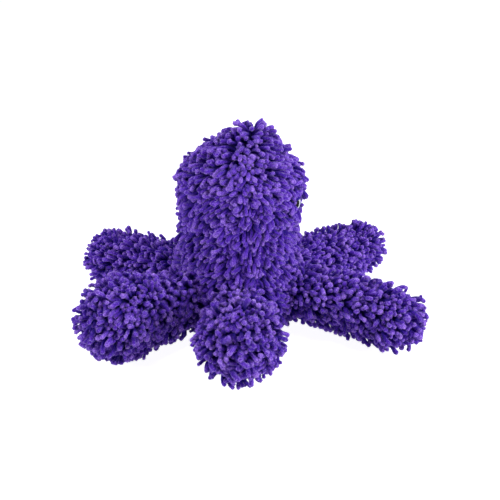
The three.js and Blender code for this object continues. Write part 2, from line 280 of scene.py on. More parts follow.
class HeadForm:
    """The head's backing: a flat base and the drawn-in outline. Its distances are read from a grid."""

    PROUD = (-1.2 * MM, 0.22, 2.4 * MM)
    LENGTH_SHARE = 1.0
    TOP_RISE = 3.0 * MM
    CELL = 1 * MM
    MARGIN = 30 * MM
    BASE_STEPS = 12

    def __init__(self, depth):
        self.body = "head"
        rows = head_rows(depth)
        side = rows[rows[:, 1] > BASE_LEVEL]
        floor = np.zeros((self.BASE_STEPS, rows.shape[1]))
        floor[:, 0] = np.linspace(0, side[0, 0], self.BASE_STEPS)
        floor[:, 1] = BASE_LEVEL
        self.rows = np.concatenate([floor, side])
        half_up = head_rows(depth / 2)[rows[:, 1] > BASE_LEVEL]
        self.mid_pile = np.concatenate([floor * [half_up[0, 0] / side[0, 0], 1, 1, 1], half_up])[:, :2]
        reach = np.arange(0, HEAD_RADIUS + self.MARGIN, self.CELL)
        level = np.arange(-self.MARGIN, HEAD_HEIGHT + self.MARGIN, self.CELL)
        grid = np.stack(np.meshgrid(reach, level, indexing="ij"), axis=-1)
        self.distance = self.signed_distance(grid)

    def signed_distance(self, points):
        """The least distance to the outline's segments, negative if a ray upwards crosses an odd number."""
        start, way = self.rows[:-1, :2], np.diff(self.rows[:, :2], axis=0)
        off = points[..., None, :] - start
        share = np.clip((off * way).sum(-1) / np.maximum((way * way).sum(-1), 1e-18), 0, 1)
        least = np.linalg.norm(off - share[..., None] * way, axis=-1).min(-1)
        across = points[..., None, 0]
        spans = (start[:, 0] > across) != ((start + way)[:, 0] > across)
        slope = way[:, 1] / np.where(way[:, 0] == 0, 1.0, way[:, 0])
        above = start[:, 1] + (across - start[:, 0]) * slope > points[..., None, 1]
        inside = (spans & above).sum(-1) % 2 == 1
        return np.where(inside, -least, least)

    def at_level(self, level):
        """The middle and the swelling at levels."""
        levels = np.maximum.accumulate(self.rows[:, 1])
        return [np.interp(level, levels, self.rows[:, k]) for k in (2, 3)]

    def height(self, points):
        """How far points are above the backing, read from the grid between its four nearest cells."""
        level = points[:, 2]
        middle, swelling = self.at_level(level)
        off = points[:, 1] - middle
        reach = np.hypot(points[:, 0], off) - swelling * faceward(np.arctan2(off, points[:, 0]))
        at = np.stack([reach, level + self.MARGIN], axis=1) / self.CELL
        at = np.clip(at, 0, np.array(self.distance.shape) - 1.001)
        cell = at.astype(int)
        u, v = (at - cell).T
        i, j = cell.T
        low = self.distance[i, j] * (1 - u) + self.distance[i + 1, j] * u
        high = self.distance[i, j + 1] * (1 - u) + self.distance[i + 1, j + 1] * u
        return low * (1 - v) + high * v

    def roots(self, spacing):
        """Roots all over the head, from the middle of its base to its crown, and each one's panel."""
        at, turn = spiral(self.mid_pile, spacing)
        side, from_face = self.pattern_turn(turn)
        from_face = from_face + PARTING_CROWD / 2 * np.sin(2 * from_face)
        away = side * np.interp(from_face, [0, math.pi / 2, math.pi], [0, PARTING_HEADING, math.pi])
        heading = (away - math.pi / 2 + math.pi) % TURN - math.pi
        gore = np.round(heading / (TURN / 4)).astype(int) % 4
        names = np.array(["head_gore_left", "head_gore_back", "head_gore_right", "head_gore_face"])
        panel = np.where(at < self.BASE_STEPS - 1, "base_panel", names[gore])
        return head_surface(read(self.rows, at), heading), panel

    def pattern_turn(self, heading):
        """The side of the face that headings are on, and their turn from it, a quarter at the partings."""
        turned = (heading + math.pi / 2 + math.pi) % TURN - math.pi
        from_face = np.interp(np.abs(turned), [0, PARTING_HEADING, math.pi], [0, math.pi / 2, math.pi])
        return np.sign(turned), from_face

    def comb(self, root, normal, rng):
        """The way each finger is combed, and its tilt.

        The pile parts at the side seams and runs to the face and to the back, half down. It is flattest
        between the seams, and it stands up along them and at the crown.
        """
        heading = np.arctan2(root[:, 1] - self.at_level(root[:, 2])[0], root[:, 0])
        around = np.stack([-np.sin(heading), np.cos(heading), 0 * heading], axis=1)
        side, from_face = self.pattern_turn(heading)
        parting = -side * np.tanh(PARTING_SHARPNESS * np.sin(2 * from_face))
        down = unit(normal * normal[:, 2:] - UP)
        way = parting[:, None] * around + HEAD_DROOP_SHARE * down
        upper = smooth((root[:, 2] / HEAD_HEIGHT - STANDING_LEVEL_SHARE) / STANDING_RANGE_SHARE)
        crown = smooth((normal[:, 2] - CROWN_RISE) / CROWN_RISE_RANGE)
        standing = np.maximum(upper * (1 - np.abs(parting)), crown)
        tilt = HEAD_TILT + (PARTING_TILT - HEAD_TILT) * standing
        tilt = tilt + rng.normal(0, HEAD_TILT_SPREAD, len(root))
        under = root[:, 2] < BASE_LEVEL + UNDERSIDE_REACH
        outward = np.stack([np.cos(heading), np.sin(heading), 0 * heading], axis=1)
        way = np.where(under[:, None], outward, way)
        tilt = np.where(under, UNDERSIDE_TILT, tilt)
        return unit(way + rng.normal(0, HEAD_STRAY_SHARE, way.shape)), tilt


class ArmForm:
    """One arm's pattern as its stuffing makes it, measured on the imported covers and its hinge."""

    PROUD = (-2.4 * MM, 0.36, 3.9 * MM)
    LENGTH_SHARE = 0.9
    TOP_RISE = -1.4 * MM

    def __init__(self, side, depth):
        joint = joint_named(f"arm_{side}_lift")
        self.side = side
        self.body = joint["child"]
        self.depth = depth
        self.root = np.array(joint["pos_m"])
        axis = np.array(joint["axis"])
        self.ahead = np.array([-axis[1], axis[0], 0.0])
        self.left = np.array([-axis[0], -axis[1], 0.0])
        self.heading = math.atan2(self.ahead[1], self.ahead[0])
        covers = [frame["nodes"][f"arm_{side}_{part}_cover"] for part in ("top", "under")]
        points = np.concatenate([mesh_points(cover) for cover in covers])
        self.radius = (points[:, 2].max() + FLOOR_PRESS) / 2
        tip = points[np.argmax((points - self.root) @ self.ahead)] - self.root
        reach, aside = tip @ self.ahead, tip @ self.left
        self.length = reach - self.radius
        self.bend = 2 * self.length * aside / reach**2 + ARM_BEND_TRIMS.get(side, 0.0)
        girth = self.radius / ARM_PATTERN_RADIUS
        self.neck = ARM_NECK_RADIUS * (1 + NECK_FOLLOW_SHARE * (girth - 1))
        self.lift = self.radius - FLOOR_PRESS - self.root[2]

    def middle(self, along):
        """The middle line: ahead from the hinge, aside by the bend as a parabola, up by a smooth step."""
        forward = np.maximum(0.0, along)
        aside = self.bend * forward**2 / (2 * self.length)
        rise = self.lift * smooth(forward / ARM_SWELL_LENGTH)
        at = self.root + along[..., None] * self.ahead + aside[..., None] * self.left
        return at + rise[..., None] * UP

    def girth(self, along):
        """The radius: the neck's at the hinge, swelling to the full one by a smooth step."""
        return self.neck + (self.radius - self.neck) * smooth(along / ARM_SWELL_LENGTH)

    def outline(self, depth, start, steps=64):
        """Along and radius from a start on the middle line to the round tip, drawn in by depth."""
        body = np.linspace(start, self.length, steps // 2)
        turn = np.linspace(0, math.pi / 2, steps // 2)[1:]
        full = self.radius - depth
        cap = np.stack([self.length + full * np.sin(turn), full * np.cos(turn)], axis=1)
        cap[-1, 1] = 0.0
        return np.concatenate([np.stack([body, self.girth(body) - depth], axis=1), cap])

    def surface(self, outline, turn):
        """Points of the arm: the outline's radius, turned about the middle line from the left upwards."""
        along, radius = outline[..., 0], outline[..., 1]
        heading = self.heading + self.bend * np.maximum(0.0, along) / self.length
        aside = np.stack([-np.sin(heading), np.cos(heading), 0 * heading], axis=-1)
        across = (radius * np.cos(turn))[..., None] * aside
        return self.middle(along + 0 * turn) + across + (radius * np.sin(turn))[..., None] * UP

    def height(self, points):
        """Distance from the middle line, held between the neck's start and the round tip, less the radius."""
        along = np.clip((points - self.root) @ self.ahead, -ARM_BACK_LENGTH, self.length)
        off = points - self.middle(along)
        return np.linalg.norm(off, axis=1) - (self.girth(along) - self.depth)

    def roots(self, spacing):
        """Roots from the neck to the tip of the arm, and each one's panel."""
        outline = self.outline(self.depth, -ARM_BACK_LENGTH)
        at, turn = spiral(self.outline(self.depth / 2, -ARM_BACK_LENGTH)[:, ::-1], spacing)
        root = self.surface(read(outline, at), turn)
        part = np.where(root[:, 2] > self.root[2], "top", "under")
        panel = np.char.add(np.char.add(f"arm_{self.side}_", part), "_cover")
        return root, panel

    def comb(self, root, normal, rng):
        """The way each finger leans, and its tilt: they stand out, and lean to the tip and the floor."""
        down = normal * normal[:, 2:] - UP
        way = ARM_DROOP_SHARE * down + ARM_FORWARD_SHARE * self.ahead
        way = way + rng.normal(0, ARM_STRAY_SHARE, root.shape)
        tilt = np.abs(rng.normal(ARM_TILT, ARM_TILT_SPREAD, len(root)))
        return unit(way), tilt


def spiral(outline, spacing):
    """Outline indexes and turns of roots that are even over a surface of revolution.

    The outline gives reach from the axis and way along it. Root k of n lies where the area from the outline's
    start is (k + 1/2)/n of the whole, at k golden turns.
    """
    reach = outline[:, 0]
    step = np.linalg.norm(np.diff(outline, axis=0), axis=1)
    area = np.concatenate([[0.0], np.cumsum(math.pi * (reach[1:] + reach[:-1]) * step)])
    count = int(area[-1] / spacing**2)
    k = np.arange(count)
    at = np.interp((k + 0.5) / count * area[-1], area, np.arange(len(area)))
    return at, k * GOLDEN_TURN


# Pile

# How the head is combed.
PARTING_SHARPNESS = 1.7
PARTING_CROWD = 0.45
PARTING_HEADING = math.radians(78)
PARTING_TILT = math.radians(30)
HEAD_DROOP_SHARE = 0.9
HEAD_STRAY_SHARE = 0.42
HEAD_TILT = math.radians(64)
HEAD_TILT_SPREAD = math.radians(12)
STANDING_LEVEL_SHARE = 0.55
STANDING_RANGE_SHARE = 0.2
CROWN_RISE = 0.55
CROWN_RISE_RANGE = 0.35
UNDERSIDE_REACH = 0.5 * MM
UNDERSIDE_TILT = math.radians(80)

# How the arms are combed.
ARM_TILT = math.radians(28)
ARM_TILT_SPREAD = math.radians(10)
ARM_DROOP_SHARE = 0.5
ARM_FORWARD_SHARE = 0.9
ARM_STRAY_SHARE = 0.3

# How fingers differ. Some end proud of the rest, and a few stray right out.
THICKNESS_LIMITS = (-0.25, 0.25)
LENGTH_LIMITS = (-0.3, 0.35)
LEVEL_SPREAD = 0.5 * MM
PROUD_START = 0.3 * MM
PROUD_LENGTH_SHARE = 1.12
PROUD_TILT_SHARE = 0.65
STRAY_OVER = 4 * MM
STRAY_TILT_SHARE = 0.5
STRAY_LEAST_RISE = -0.3

# A finger's chain: its lean from root to tip, and its curl and swing in radians.
CHAIN_POINTS = 7
LEAN_START = 0.55
LEAN_GROWTH = 0.8
LEAN_CURL = 0.13
SWING = 0.22
SWAY = 0.15

# A loop's chain, as shares of its size.
LOOP_POINTS = 13
LOOP_SIZE_SHARE = 0.62
LOOP_LEAN = 0.5
LOOP_ROUNDNESS = 0.8
LOOP_WIDTH = 0.28
LOOP_PINCH = 0.25
LOOP_FOOT = 0.08
LOOP_THICKNESS_SHARE = 0.9
LOOP_OVER = 1 * MM

# Settling. A strand gives way in full from its STIFF_LINKS-th point on.
STIFF_LINKS = 2
ROOT_CLEARANCE = 1.5 * MM
RENEW_ROUNDS = 3
NEAR_SHARE = 1.25
MEMORY = 0.08
CROWD_SHARE = 0.55
BACKING_SHARE = 0.8
CEILING_SHARE = 0.9
UNDERSIDE_PRESS = 0.25
FLOOR_SHARE = 0.92
FLOOR_END_SHARE = 0.98
STRAIGHTEN_SHARE = 0.15
EYE_DEPTH_SHARE = 2

# The skin of a strand: how it is unfolded, its rings as shares of its radius, and the fibres on it.
UNFOLD_SHARE = 0.5
UNFOLD_ROUNDS = 2
FINGER_SIDES = 6
FINGER_RINGS = 7
LOOP_RINGS = 12
ROOT_WIDTH = 0.9
TIP_WIDTH_GAIN = 0.18
FINGER_END_LENGTHS = np.array([0.46, 0.82, 0.98])
FINGER_END_WIDTHS = np.array([0.9, 0.58, 0.22])
RING_LUMPS = 0.06
SIDE_LUMPS = 0.09
FLOOR_CLEARANCE = 0.1 * MM
BRISTLES = 18
BRISTLE_START = 0.4
BRISTLE_SEAT = 0.93
BRISTLE_LENGTH = 0.8 * MM
BRISTLE_LENGTH_SHARES = (0.6, 1.3)
BRISTLE_WIDTH = 0.35 * MM
BRISTLE_STRAY = 0.5
BRISTLE_LEAN = 0.25
# How far up the colour ramp a bristle's tip goes, towards the painted highlight.
BRISTLE_TIP_HIGHLIGHT = 0.5


def slopes(form, points, step=0.3 * MM):
    """The way out of a form at each point, from its heights a small step along each axis."""
    rise = [form.height(points + step * axis) - form.height(points - step * axis) for axis in np.eye(3)]
    return unit(np.stack(rise, axis=1))


def near_pairs(points, reach):
    """Pairs of points closer than reach, found through cells of that size and the cells round each."""
    cell = np.floor((points - points.min(0)) / reach).astype(np.int64) + 1
    span = cell.max(0) + 2
    key = (cell[:, 0] * span[1] + cell[:, 1]) * span[2] + cell[:, 2]
    order = np.argsort(key, kind="stable")
    ordered = key[order]
    around = [(x, y, z) for x in (-1, 0, 1) for y in (-1, 0, 1) for z in (-1, 0, 1)]
    firsts, seconds = [], []
    for x, y, z in around[len(around) // 2 :]:
        wanted = key + (x * span[1] + y) * span[2] + z
        low = np.searchsorted(ordered, wanted, "left")
        count = np.searchsorted(ordered, wanted, "right") - low
        first = np.repeat(np.arange(len(points)), count)
        within = np.arange(len(first)) - np.repeat(np.cumsum(count) - count, count)
        second = order[np.repeat(low, count) + within]
        if (x, y, z) == (0, 0, 0):
            once = first < second
            first, second = first[once], second[once]
        firsts.append(first)
        seconds.append(second)
    first, second = np.concatenate(firsts), np.concatenate(seconds)
    near = ((points[first] - points[second]) ** 2).sum(1) < reach * reach
    return first[near], second[near]


class Strands:
    """Fingers or loops of chenille: chains of points with a radius, a form to grow on and a panel."""

    def __init__(self, points, radius, over, owner, panel, looped):
        self.points = points
        self.rest = points.copy()
        self.bend = (points[:, 2:] + points[:, :-2]) / 2 - points[:, 1:-1]
        self.link = np.linalg.norm(points[:, 1:] - points[:, :-1], axis=2).mean(1)
        self.radius = radius
        self.over = over
        self.owner = owner
        self.panel = panel
        self.looped = looped
        k = np.arange(points.shape[1])
        from_root = np.minimum(k, k[::-1]) if looped else k
        self.give = np.clip(from_root / STIFF_LINKS, 0.0, 1.0)

    def keep_length(self):
        """Moves each point to its link's length from the one before, from the root on. A loop does it from
        both its ends and takes the mean."""
        self.points = self.pulled(self.points)
        if self.looped:
            back = self.pulled(self.points[:, ::-1])[:, ::-1]
            self.points = (self.points + back) / 2

    def pulled(self, points):
        """Chains with each link at its own length from the one before. A loop keeps its last point."""
        out = points.copy()
        for k in range(1, points.shape[1]):
            way = unit(out[:, k] - out[:, k - 1])
            out[:, k] = out[:, k - 1] + way * self.link[:, None]
        if self.looped:
            out[:, -1] = points[:, -1]
        return out

    def straighten(self, share):
        """Draws each inner point to where it first lay between its neighbours, so chains keep their bends."""
        middle = (self.points[:, 2:] + self.points[:, :-2]) / 2 - self.bend
        self.points[:, 1:-1] += share * self.give[None, 1:-1, None] * (middle - self.points[:, 1:-1])


def finger_links(normal, way, aside, tilt, rng):
    """The way of each link of a finger, s from 0 at the root to 1 at the tip.

    It leans from the normal by tilt (LEAN_START + LEAN_GROWTH s) and a random curl, and swings aside by a
    random share of s and a random sway. Curl and sway are sines of half a turn over the finger.
    """
    count = len(normal)
    step = np.linspace(0, 1, CHAIN_POINTS - 1)
    curl = np.sin(math.pi * step + rng.uniform(0, TURN, (count, 1)))
    lean = tilt[:, None] * (LEAN_START + LEAN_GROWTH * step) + rng.normal(0, LEAN_CURL, (count, 1)) * curl
    sway = np.sin(math.pi * step + rng.uniform(0, TURN, (count, 1)))
    swing = rng.normal(0, SWING, (count, 1)) * step + rng.normal(0, SWAY, (count, 1)) * sway
    flat = np.cos(swing)[..., None] * way[:, None] + np.sin(swing)[..., None] * aside[:, None]
    return np.cos(lean)[..., None] * normal[:, None] + np.sin(lean)[..., None] * flat


def loop_lines(size, normal, way, aside):
    """The points of a loop from its root, t from minus half a turn to half a turn.

    It bows out by (1 + cos t)^LOOP_ROUNDNESS / 2, and goes aside by
    LOOP_WIDTH sin t (1 - LOOP_PINCH cos t) - LOOP_FOOT t / pi.
    """
    turn = np.linspace(-math.pi, math.pi, LOOP_POINTS)[:, None]
    bow = 0.5 * (1 + np.cos(turn)) ** LOOP_ROUNDNESS
    width = LOOP_WIDTH * np.sin(turn) * (1 - LOOP_PINCH * np.cos(turn)) - LOOP_FOOT * turn / math.pi
    return size * (bow[None] * unit(normal + LOOP_LEAN * way)[:, None] + width[None] * aside[:, None])


def grow(form, index, settings, rng):
    """The fingers and loops of one form, before they are settled."""
    root, panel = form.roots(settings.spacing)
    root = root + rng.normal(0, settings.spacing * settings.root_scatter, root.shape)
    normal = slopes(form, root)
    root = root - normal * form.height(root)[:, None]
    way, tilt = form.comb(root, normal, rng)
    way = unit(way - normal * (way * normal).sum(1, keepdims=True))
    count = len(root)
    thicker = rng.normal(0, settings.thickness_spread, count).clip(*THICKNESS_LIMITS)
    radius = settings.thickness / 2 * (1 + thicker)
    longer = rng.normal(0, settings.length_spread, count).clip(*LENGTH_LIMITS)
    length = settings.length * form.LENGTH_SHARE * (1 + longer)
    level, share, most = form.PROUD
    over = rng.normal(level, LEVEL_SPREAD, count)
    proud = rng.random(count) < share * settings.proud_share
    over = np.where(proud, rng.uniform(PROUD_START, most, count), over)
    over = over + form.TOP_RISE * np.maximum(0.0, normal[:, 2])
    length = np.where(proud, length * PROUD_LENGTH_SHARE, length)
    tilt = np.where(proud, tilt * PROUD_TILT_SHARE, tilt)
    stray = (rng.random(count) < settings.stray_share) & (normal[:, 2] > STRAY_LEAST_RISE)
    over = np.where(stray, STRAY_OVER, over)
    tilt = np.where(stray, tilt * STRAY_TILT_SHARE, tilt)
    looped = rng.random(count) < settings.loop_share
    aside = np.cross(normal, way)
    links = finger_links(normal, way, aside, tilt, rng)
    links = links * ((length - radius) / (CHAIN_POINTS - 1))[:, None, None]
    points = root[:, None] + np.concatenate([np.zeros((count, 1, 3)), np.cumsum(links, axis=1)], axis=1)
    owner = np.full(count, index)
    fingers = [a[~looped] for a in (points, radius, over, owner, panel)]
    curls = root[:, None] + loop_lines(settings.length * LOOP_SIZE_SHARE, normal, way, aside)
    fields = (curls, radius * LOOP_THICKNESS_SHARE, over + LOOP_OVER, owner, panel)
    loops = [a[looped] for a in fields]
    return Strands(*fingers, False), Strands(*loops, True)


def joined(groups, looped):
    """Several groups of strands as one."""
    fields = ("points", "radius", "over", "owner", "panel")
    return Strands(*(np.concatenate([getattr(g, f) for g in groups]) for f in fields), looped)


class Settling:
    """All strands as one array of points, to be settled against each other, the forms and the floor.

    Each round, points go back a little to the lie that they were combed to, and points of different strands
    that are closer than their radii move apart. Then each is brought between the backing and the pile's
    height, off the eyes and onto the floor, and the links take their lengths again.
    """

    def __init__(self, groups, forms, eyes, settings):
        self.groups = groups
        self.forms = forms
        self.eyes = eyes
        self.settings = settings
        self.radius, self.over, self.owner = (self.per_point(name) for name in ("radius", "over", "owner"))
        self.give = np.concatenate([np.tile(g.give, len(g.points)) for g in groups])
        self.rest = self.flat("rest")
        starts = np.cumsum([0] + [len(g.points) for g in groups])
        numbers = [start + np.arange(len(g.points)) for start, g in zip(starts, groups)]
        self.strand = np.concatenate([np.repeat(n, g.points.shape[1]) for n, g in zip(numbers, groups)])

    def per_point(self, name):
        """A value of each strand, once for each of its points."""
        return np.concatenate([np.repeat(getattr(g, name), g.points.shape[1]) for g in self.groups])

    def flat(self, name):
        """The chains of all groups as one array of points."""
        return np.concatenate([getattr(g, name).reshape(-1, 3) for g in self.groups])

    def find_pairs(self, points):
        """Finds the pairs of points that may touch in the next rounds."""
        first, second = near_pairs(points, self.settings.thickness * NEAR_SHARE)
        other = self.strand[first] != self.strand[second]
        self.pairs = first[other], second[other]

    def push_apart(self, points):
        """Moves points that overlap apart, half each, and less the more others they touch."""
        first, second = self.pairs
        way = points[second] - points[first]
        distance = np.linalg.norm(way, axis=1)
        overlap = (self.radius[first] + self.radius[second]) * self.settings.squeeze - distance
        hit = overlap > 0
        first, second = first[hit], second[hit]
        push = (0.5 * overlap[hit] / np.maximum(distance[hit], LEAST_LENGTH))[:, None] * way[hit]
        count = len(points)
        hits = np.bincount(first, minlength=count) + np.bincount(second, minlength=count)
        share = self.give / np.maximum(1.0, CROWD_SHARE * hits)
        for axis in range(3):
            move = np.bincount(second, push[:, axis], count) - np.bincount(first, push[:, axis], count)
            points[:, axis] += move * share

    def measure(self, points):
        """Measures the ways out of the forms and how flat the eyes press the pile, for the next rounds."""
        self.normals = np.zeros_like(points)
        for k, form in enumerate(self.forms):
            self.normals[self.owner == k] = slopes(form, points[self.owner == k])
        self.flattened = np.ones(len(points))
        for eye in self.eyes:
            self.flattened = np.minimum(self.flattened, eye.flattened(points))

    def hold(self, points, form, own):
        """Brings a form's own points between its backing and the pile's height."""
        radius, normals = self.radius[own], self.normals[own]
        high = form.height(points[own])
        low_limit = BACKING_SHARE * radius
        pressed = 1 - UNDERSIDE_PRESS * np.maximum(0.0, -normals[:, 2])
        high_limit = (self.settings.pile_height * pressed + self.over[own]) * self.flattened[own] - radius
        wanted = np.clip(high, low_limit, np.maximum(low_limit, high_limit))
        step = (wanted - high) * self.give[own] * np.where(high > high_limit, CEILING_SHARE, 1.0)
        points[own] += normals * step[:, None]

    def keep_out(self, points, form, own):
        """Moves other forms' points out of a form."""
        others = np.flatnonzero(~own)
        inside = others[form.height(points[others]) < BACKING_SHARE * self.radius[others]]
        if len(inside):
            out = slopes(form, points[inside])
            lack = BACKING_SHARE * self.radius[inside] - form.height(points[inside])
            points[inside] += out * (lack * self.give[inside])[:, None]

    def clear(self, points, eye):
        """Moves points out of an eye's clearing, and those on its disc up over it."""
        off = points - eye.middle
        along = off @ eye.way
        aside = off - along[:, None] * eye.way
        reach = np.linalg.norm(aside, axis=1)
        lack = np.maximum(0.0, eye.clearing(aside) + self.radius - reach)
        lack = lack * (np.abs(along) < EYE_DEPTH_SHARE * self.settings.pile_height)
        points += aside / np.maximum(reach, LEAST_LENGTH)[:, None] * (lack * self.give)[:, None]
        lift = eye.thickness / 2 + self.radius
        sunk = (reach < eye.radius) & (np.abs(along) < lift)
        points += (sunk * (lift - along) * self.give)[:, None] * eye.way

    def settle(self, rounds):
        cuts = np.cumsum([g.points.shape[0] * g.points.shape[1] for g in self.groups])[:-1]
        for turn in range(rounds):
            points = self.flat("points")
            memory = MEMORY * (1 - turn / rounds)
            points += (memory * self.give)[:, None] * (self.rest - points)
            if turn % RENEW_ROUNDS == 0:
                self.find_pairs(points)
            self.push_apart(points)
            if turn % RENEW_ROUNDS == 0:
                self.measure(points)
            for k, form in enumerate(self.forms):
                own = self.owner == k
                self.hold(points, form, own)
                if turn % RENEW_ROUNDS == 1:
                    self.keep_out(points, form, own)
            for eye in self.eyes:
                self.clear(points, eye)
            on_floor = np.maximum(points[:, 2], FLOOR_SHARE * self.radius)
            points[:, 2] = np.where(self.give > 0, on_floor, points[:, 2])
            for g, part in zip(self.groups, np.split(points, cuts)):
                g.points = part.reshape(g.points.shape)
                g.straighten(STRAIGHTEN_SHARE)
                g.keep_length()
        for g in self.groups:
            g.points[..., 2] = np.maximum(g.points[..., 2], FLOOR_END_SHARE * g.radius[:, None])


Skin = namedtuple("Skin", ["vertices", "faces", "along", "tone"])


def unfolded(points):
    """Chains whose inner points are drawn towards the middle of their neighbours, which opens tight folds."""
    points = points.copy()
    for _ in range(UNFOLD_ROUNDS):
        middle = (points[:, 2:] + points[:, :-2]) / 2
        points[:, 1:-1] += UNFOLD_SHARE * (middle - points[:, 1:-1])
    return points


def carried_sides(along, rng):
    """The first side of each ring: a random one, then what of the last one lies across the chain."""
    side = unit(np.cross(along[:, 0], rng.normal(0, 1, (len(along), 3))))
    sides = []
    for k in range(along.shape[1]):
        side = unit(side - along[:, k] * (side * along[:, k]).sum(1, keepdims=True))
        sides.append(side)
    return np.stack(sides, axis=1)


def skin(group, chosen, rng):
    """Vertices, faces and attributes of the chosen strands: a ring of points about each station of a chain.

    A finger's end is round: past its last point the rings' radii are a circle's.
    """
    points = unfolded(group.points[chosen])
    radius = group.radius[chosen]
    count, steps = points.shape[:2]
    inner = np.linspace(0, steps - 1, LOOP_RINGS if group.looped else FINGER_RINGS)
    centres = np.einsum("km,nmd->nkd", spline_weights(inner, steps), points)
    widths = ROOT_WIDTH + TIP_WIDTH_GAIN * np.linspace(0, 1, len(inner)) ** 2
    if not group.looped:
        way = unit(centres[:, -1] - centres[:, -2])
        tip = centres[:, -1:] + FINGER_END_LENGTHS[None, :, None] * radius[:, None, None] * way[:, None]
        centres = np.concatenate([centres, tip], axis=1)
        widths = np.concatenate([widths, widths[-1] * FINGER_END_WIDTHS])
    rings = centres.shape[1]
    along = unit(np.gradient(centres, axis=1))
    sides = carried_sides(along, rng)
    across = np.cross(along, sides)
    turn = np.arange(FINGER_SIDES) / FINGER_SIDES * TURN
    lumps = rng.normal(0, RING_LUMPS, (count, rings, 1))
    rough = 1 + lumps + rng.normal(0, SIDE_LUMPS, (count, rings, FINGER_SIDES))
    reach = radius[:, None, None] * widths[None, :, None] * rough
    cosine, sine = (f(turn)[:, None] for f in (np.cos, np.sin))
    ring = cosine * sides[:, :, None] + sine * across[:, :, None]
    vertices = centres[:, :, None] + reach[..., None] * ring
    offset = (np.arange(count) * rings * FINGER_SIDES)[:, None, None]
    quads = (grid_faces(rings, FINGER_SIDES, True)[None] + offset).reshape(-1, 4)
    start_cap = np.arange(FINGER_SIDES)[::-1]
    end_cap = np.arange(FINGER_SIDES) + (rings - 1) * FINGER_SIDES
    caps = (np.stack([start_cap, end_cap])[None] + offset).reshape(-1, FINGER_SIDES)
    # Painted shade and highlight: along runs from 0 at the root to 1 at the tip, so the colour is shaded low
    # down and highlighted at the end. A loop is shaded at both its roots.
    way_along = np.linspace(0, 1, rings)
    if group.looped:
        way_along = 1 - np.abs(2 * way_along - 1)
    along_values = np.broadcast_to(way_along[None, :, None], vertices.shape[:3]).ravel()
    tones = rng.random(count)
    tone = np.broadcast_to(tones[:, None, None], vertices.shape[:3]).ravel()
    tufts, tuft_along = bristles(centres, sides, across, along, radius[:, None] * widths, way_along, rng)
    tuft_tone = np.repeat(tones, len(tufts) // max(count, 1))
    triangles = len(vertices.reshape(-1, 3)) + np.arange(len(tufts)).reshape(-1, 3)
    vertices = np.concatenate([vertices.reshape(-1, 3), tufts])
    vertices[:, 2] = np.maximum(vertices[:, 2], FLOOR_CLEARANCE)
    along_values = np.concatenate([along_values, tuft_along])
    return Skin(vertices, [quads, caps, triangles], along_values, np.concatenate([tone, tuft_tone]))


def bristles(centres, sides, across, along, reach, way_along, rng):
    """Fibres that stand out of the chenille: a thin triangle each, from the skin outwards.

    They are spread at random over the outer part of each strand, and lean at random.
    """
    count, rings = centres.shape[:2]
    at = rng.uniform(BRISTLE_START * (rings - 1), rings - 1.001, (count, BRISTLES))
    ring = at.astype(int)
    share = (at - ring)[..., None]
    strand = np.arange(count)[:, None]

    def between(values):
        return values[strand, ring] * (1 - share) + values[strand, ring + 1] * share

    middle, way = between(centres), unit(between(along))
    radius = between(reach[..., None])
    turn = rng.uniform(0, TURN, (count, BRISTLES, 1))
    out = unit(np.cos(turn) * between(sides) + np.sin(turn) * between(across))
    foot = middle + BRISTLE_SEAT * radius * out
    lean = unit(out + rng.normal(0, BRISTLE_STRAY, out.shape) + BRISTLE_LEAN * way)
    flat = unit(np.cross(out, rng.normal(0, 1, out.shape)))
    half = BRISTLE_WIDTH / 2 * flat
    tip = foot + lean * BRISTLE_LENGTH * rng.uniform(*BRISTLE_LENGTH_SHARES, (count, BRISTLES, 1))
    corners = np.stack([foot - half, foot + half, tip], axis=2)
    along_here = way_along[ring] * (1 - share[..., 0]) + way_along[ring + 1] * share[..., 0]
    # Each bristle's tip is lighter: a painted highlight where light catches the fibre's end.
    values = np.stack([along_here, along_here, along_here + BRISTLE_TIP_HIGHLIGHT], axis=2)
    return corners.reshape(-1, 3), values.ravel()


def grid_faces(rows, columns, wrap):
    """Four-sided faces of a grid of vertices, closed round its columns if wrap is set."""
    row = np.arange(rows - 1)[:, None] * columns
    column = np.arange(columns if wrap else columns - 1)[None]
    after = (column + 1) % columns
    corners = [row + column, row + after, row + columns + after, row + columns + column]
    return np.stack(corners, axis=-1).reshape(-1, 4)


def new_mesh(name, vertices, faces, material, attributes=None):
    """An object from an (n, 3) array of vertices and a list of (m, sides) arrays of faces, shaded smooth."""
    mesh = bpy.data.meshes.new(name)
    loops = np.concatenate([f.ravel() for f in faces]).astype(np.int32)
    sides = np.concatenate([np.full(len(f), f.shape[1]) for f in faces]).astype(np.int32)
    mesh.vertices.add(len(vertices))
    mesh.vertices.foreach_set("co", np.ascontiguousarray(vertices, np.float32).ravel())
    mesh.loops.add(len(loops))
    mesh.loops.foreach_set("vertex_index", loops)
    mesh.polygons.add(len(sides))
    mesh.polygons.foreach_set("loop_start", (np.cumsum(sides) - sides).astype(np.int32))
    mesh.update(calc_edges=True)
    if mesh.validate():
        raise RuntimeError(f"{name} has a broken face")
    mesh.polygons.foreach_set("use_smooth", np.ones(len(sides), bool))
    for label, values in (attributes or {}).items():
        data = mesh.attributes.new(label, "FLOAT", "POINT").data
        data.foreach_set("value", np.ascontiguousarray(values, np.float32))
    mesh.materials.append(material)
    thing = bpy.data.objects.new(name, mesh)
    bpy.context.scene.collection.objects.link(thing)
    return thing


def panel_mesh(name, grid, material):
    """A sewn panel from a grid of points whose last row is one pole, with its thickness to the inside."""
    rows, columns = grid.shape[:2]
    vertices = np.concatenate([grid[:-1].reshape(-1, 3), grid[-1:, 0]])
    quads = grid_faces(rows - 1, columns, False)
    k = np.arange(columns - 1) + (rows - 2) * columns
    tips = np.stack([k, k + 1, np.full(len(k), len(vertices) - 1)], axis=1)
    thing = new_mesh(name, vertices, [quads, tips], material)
    thickness = thing.modifiers.new("thickness", "SOLIDIFY")
    thickness.thickness = BACKING_THICKNESS
    thickness.offset = -1
    return thing
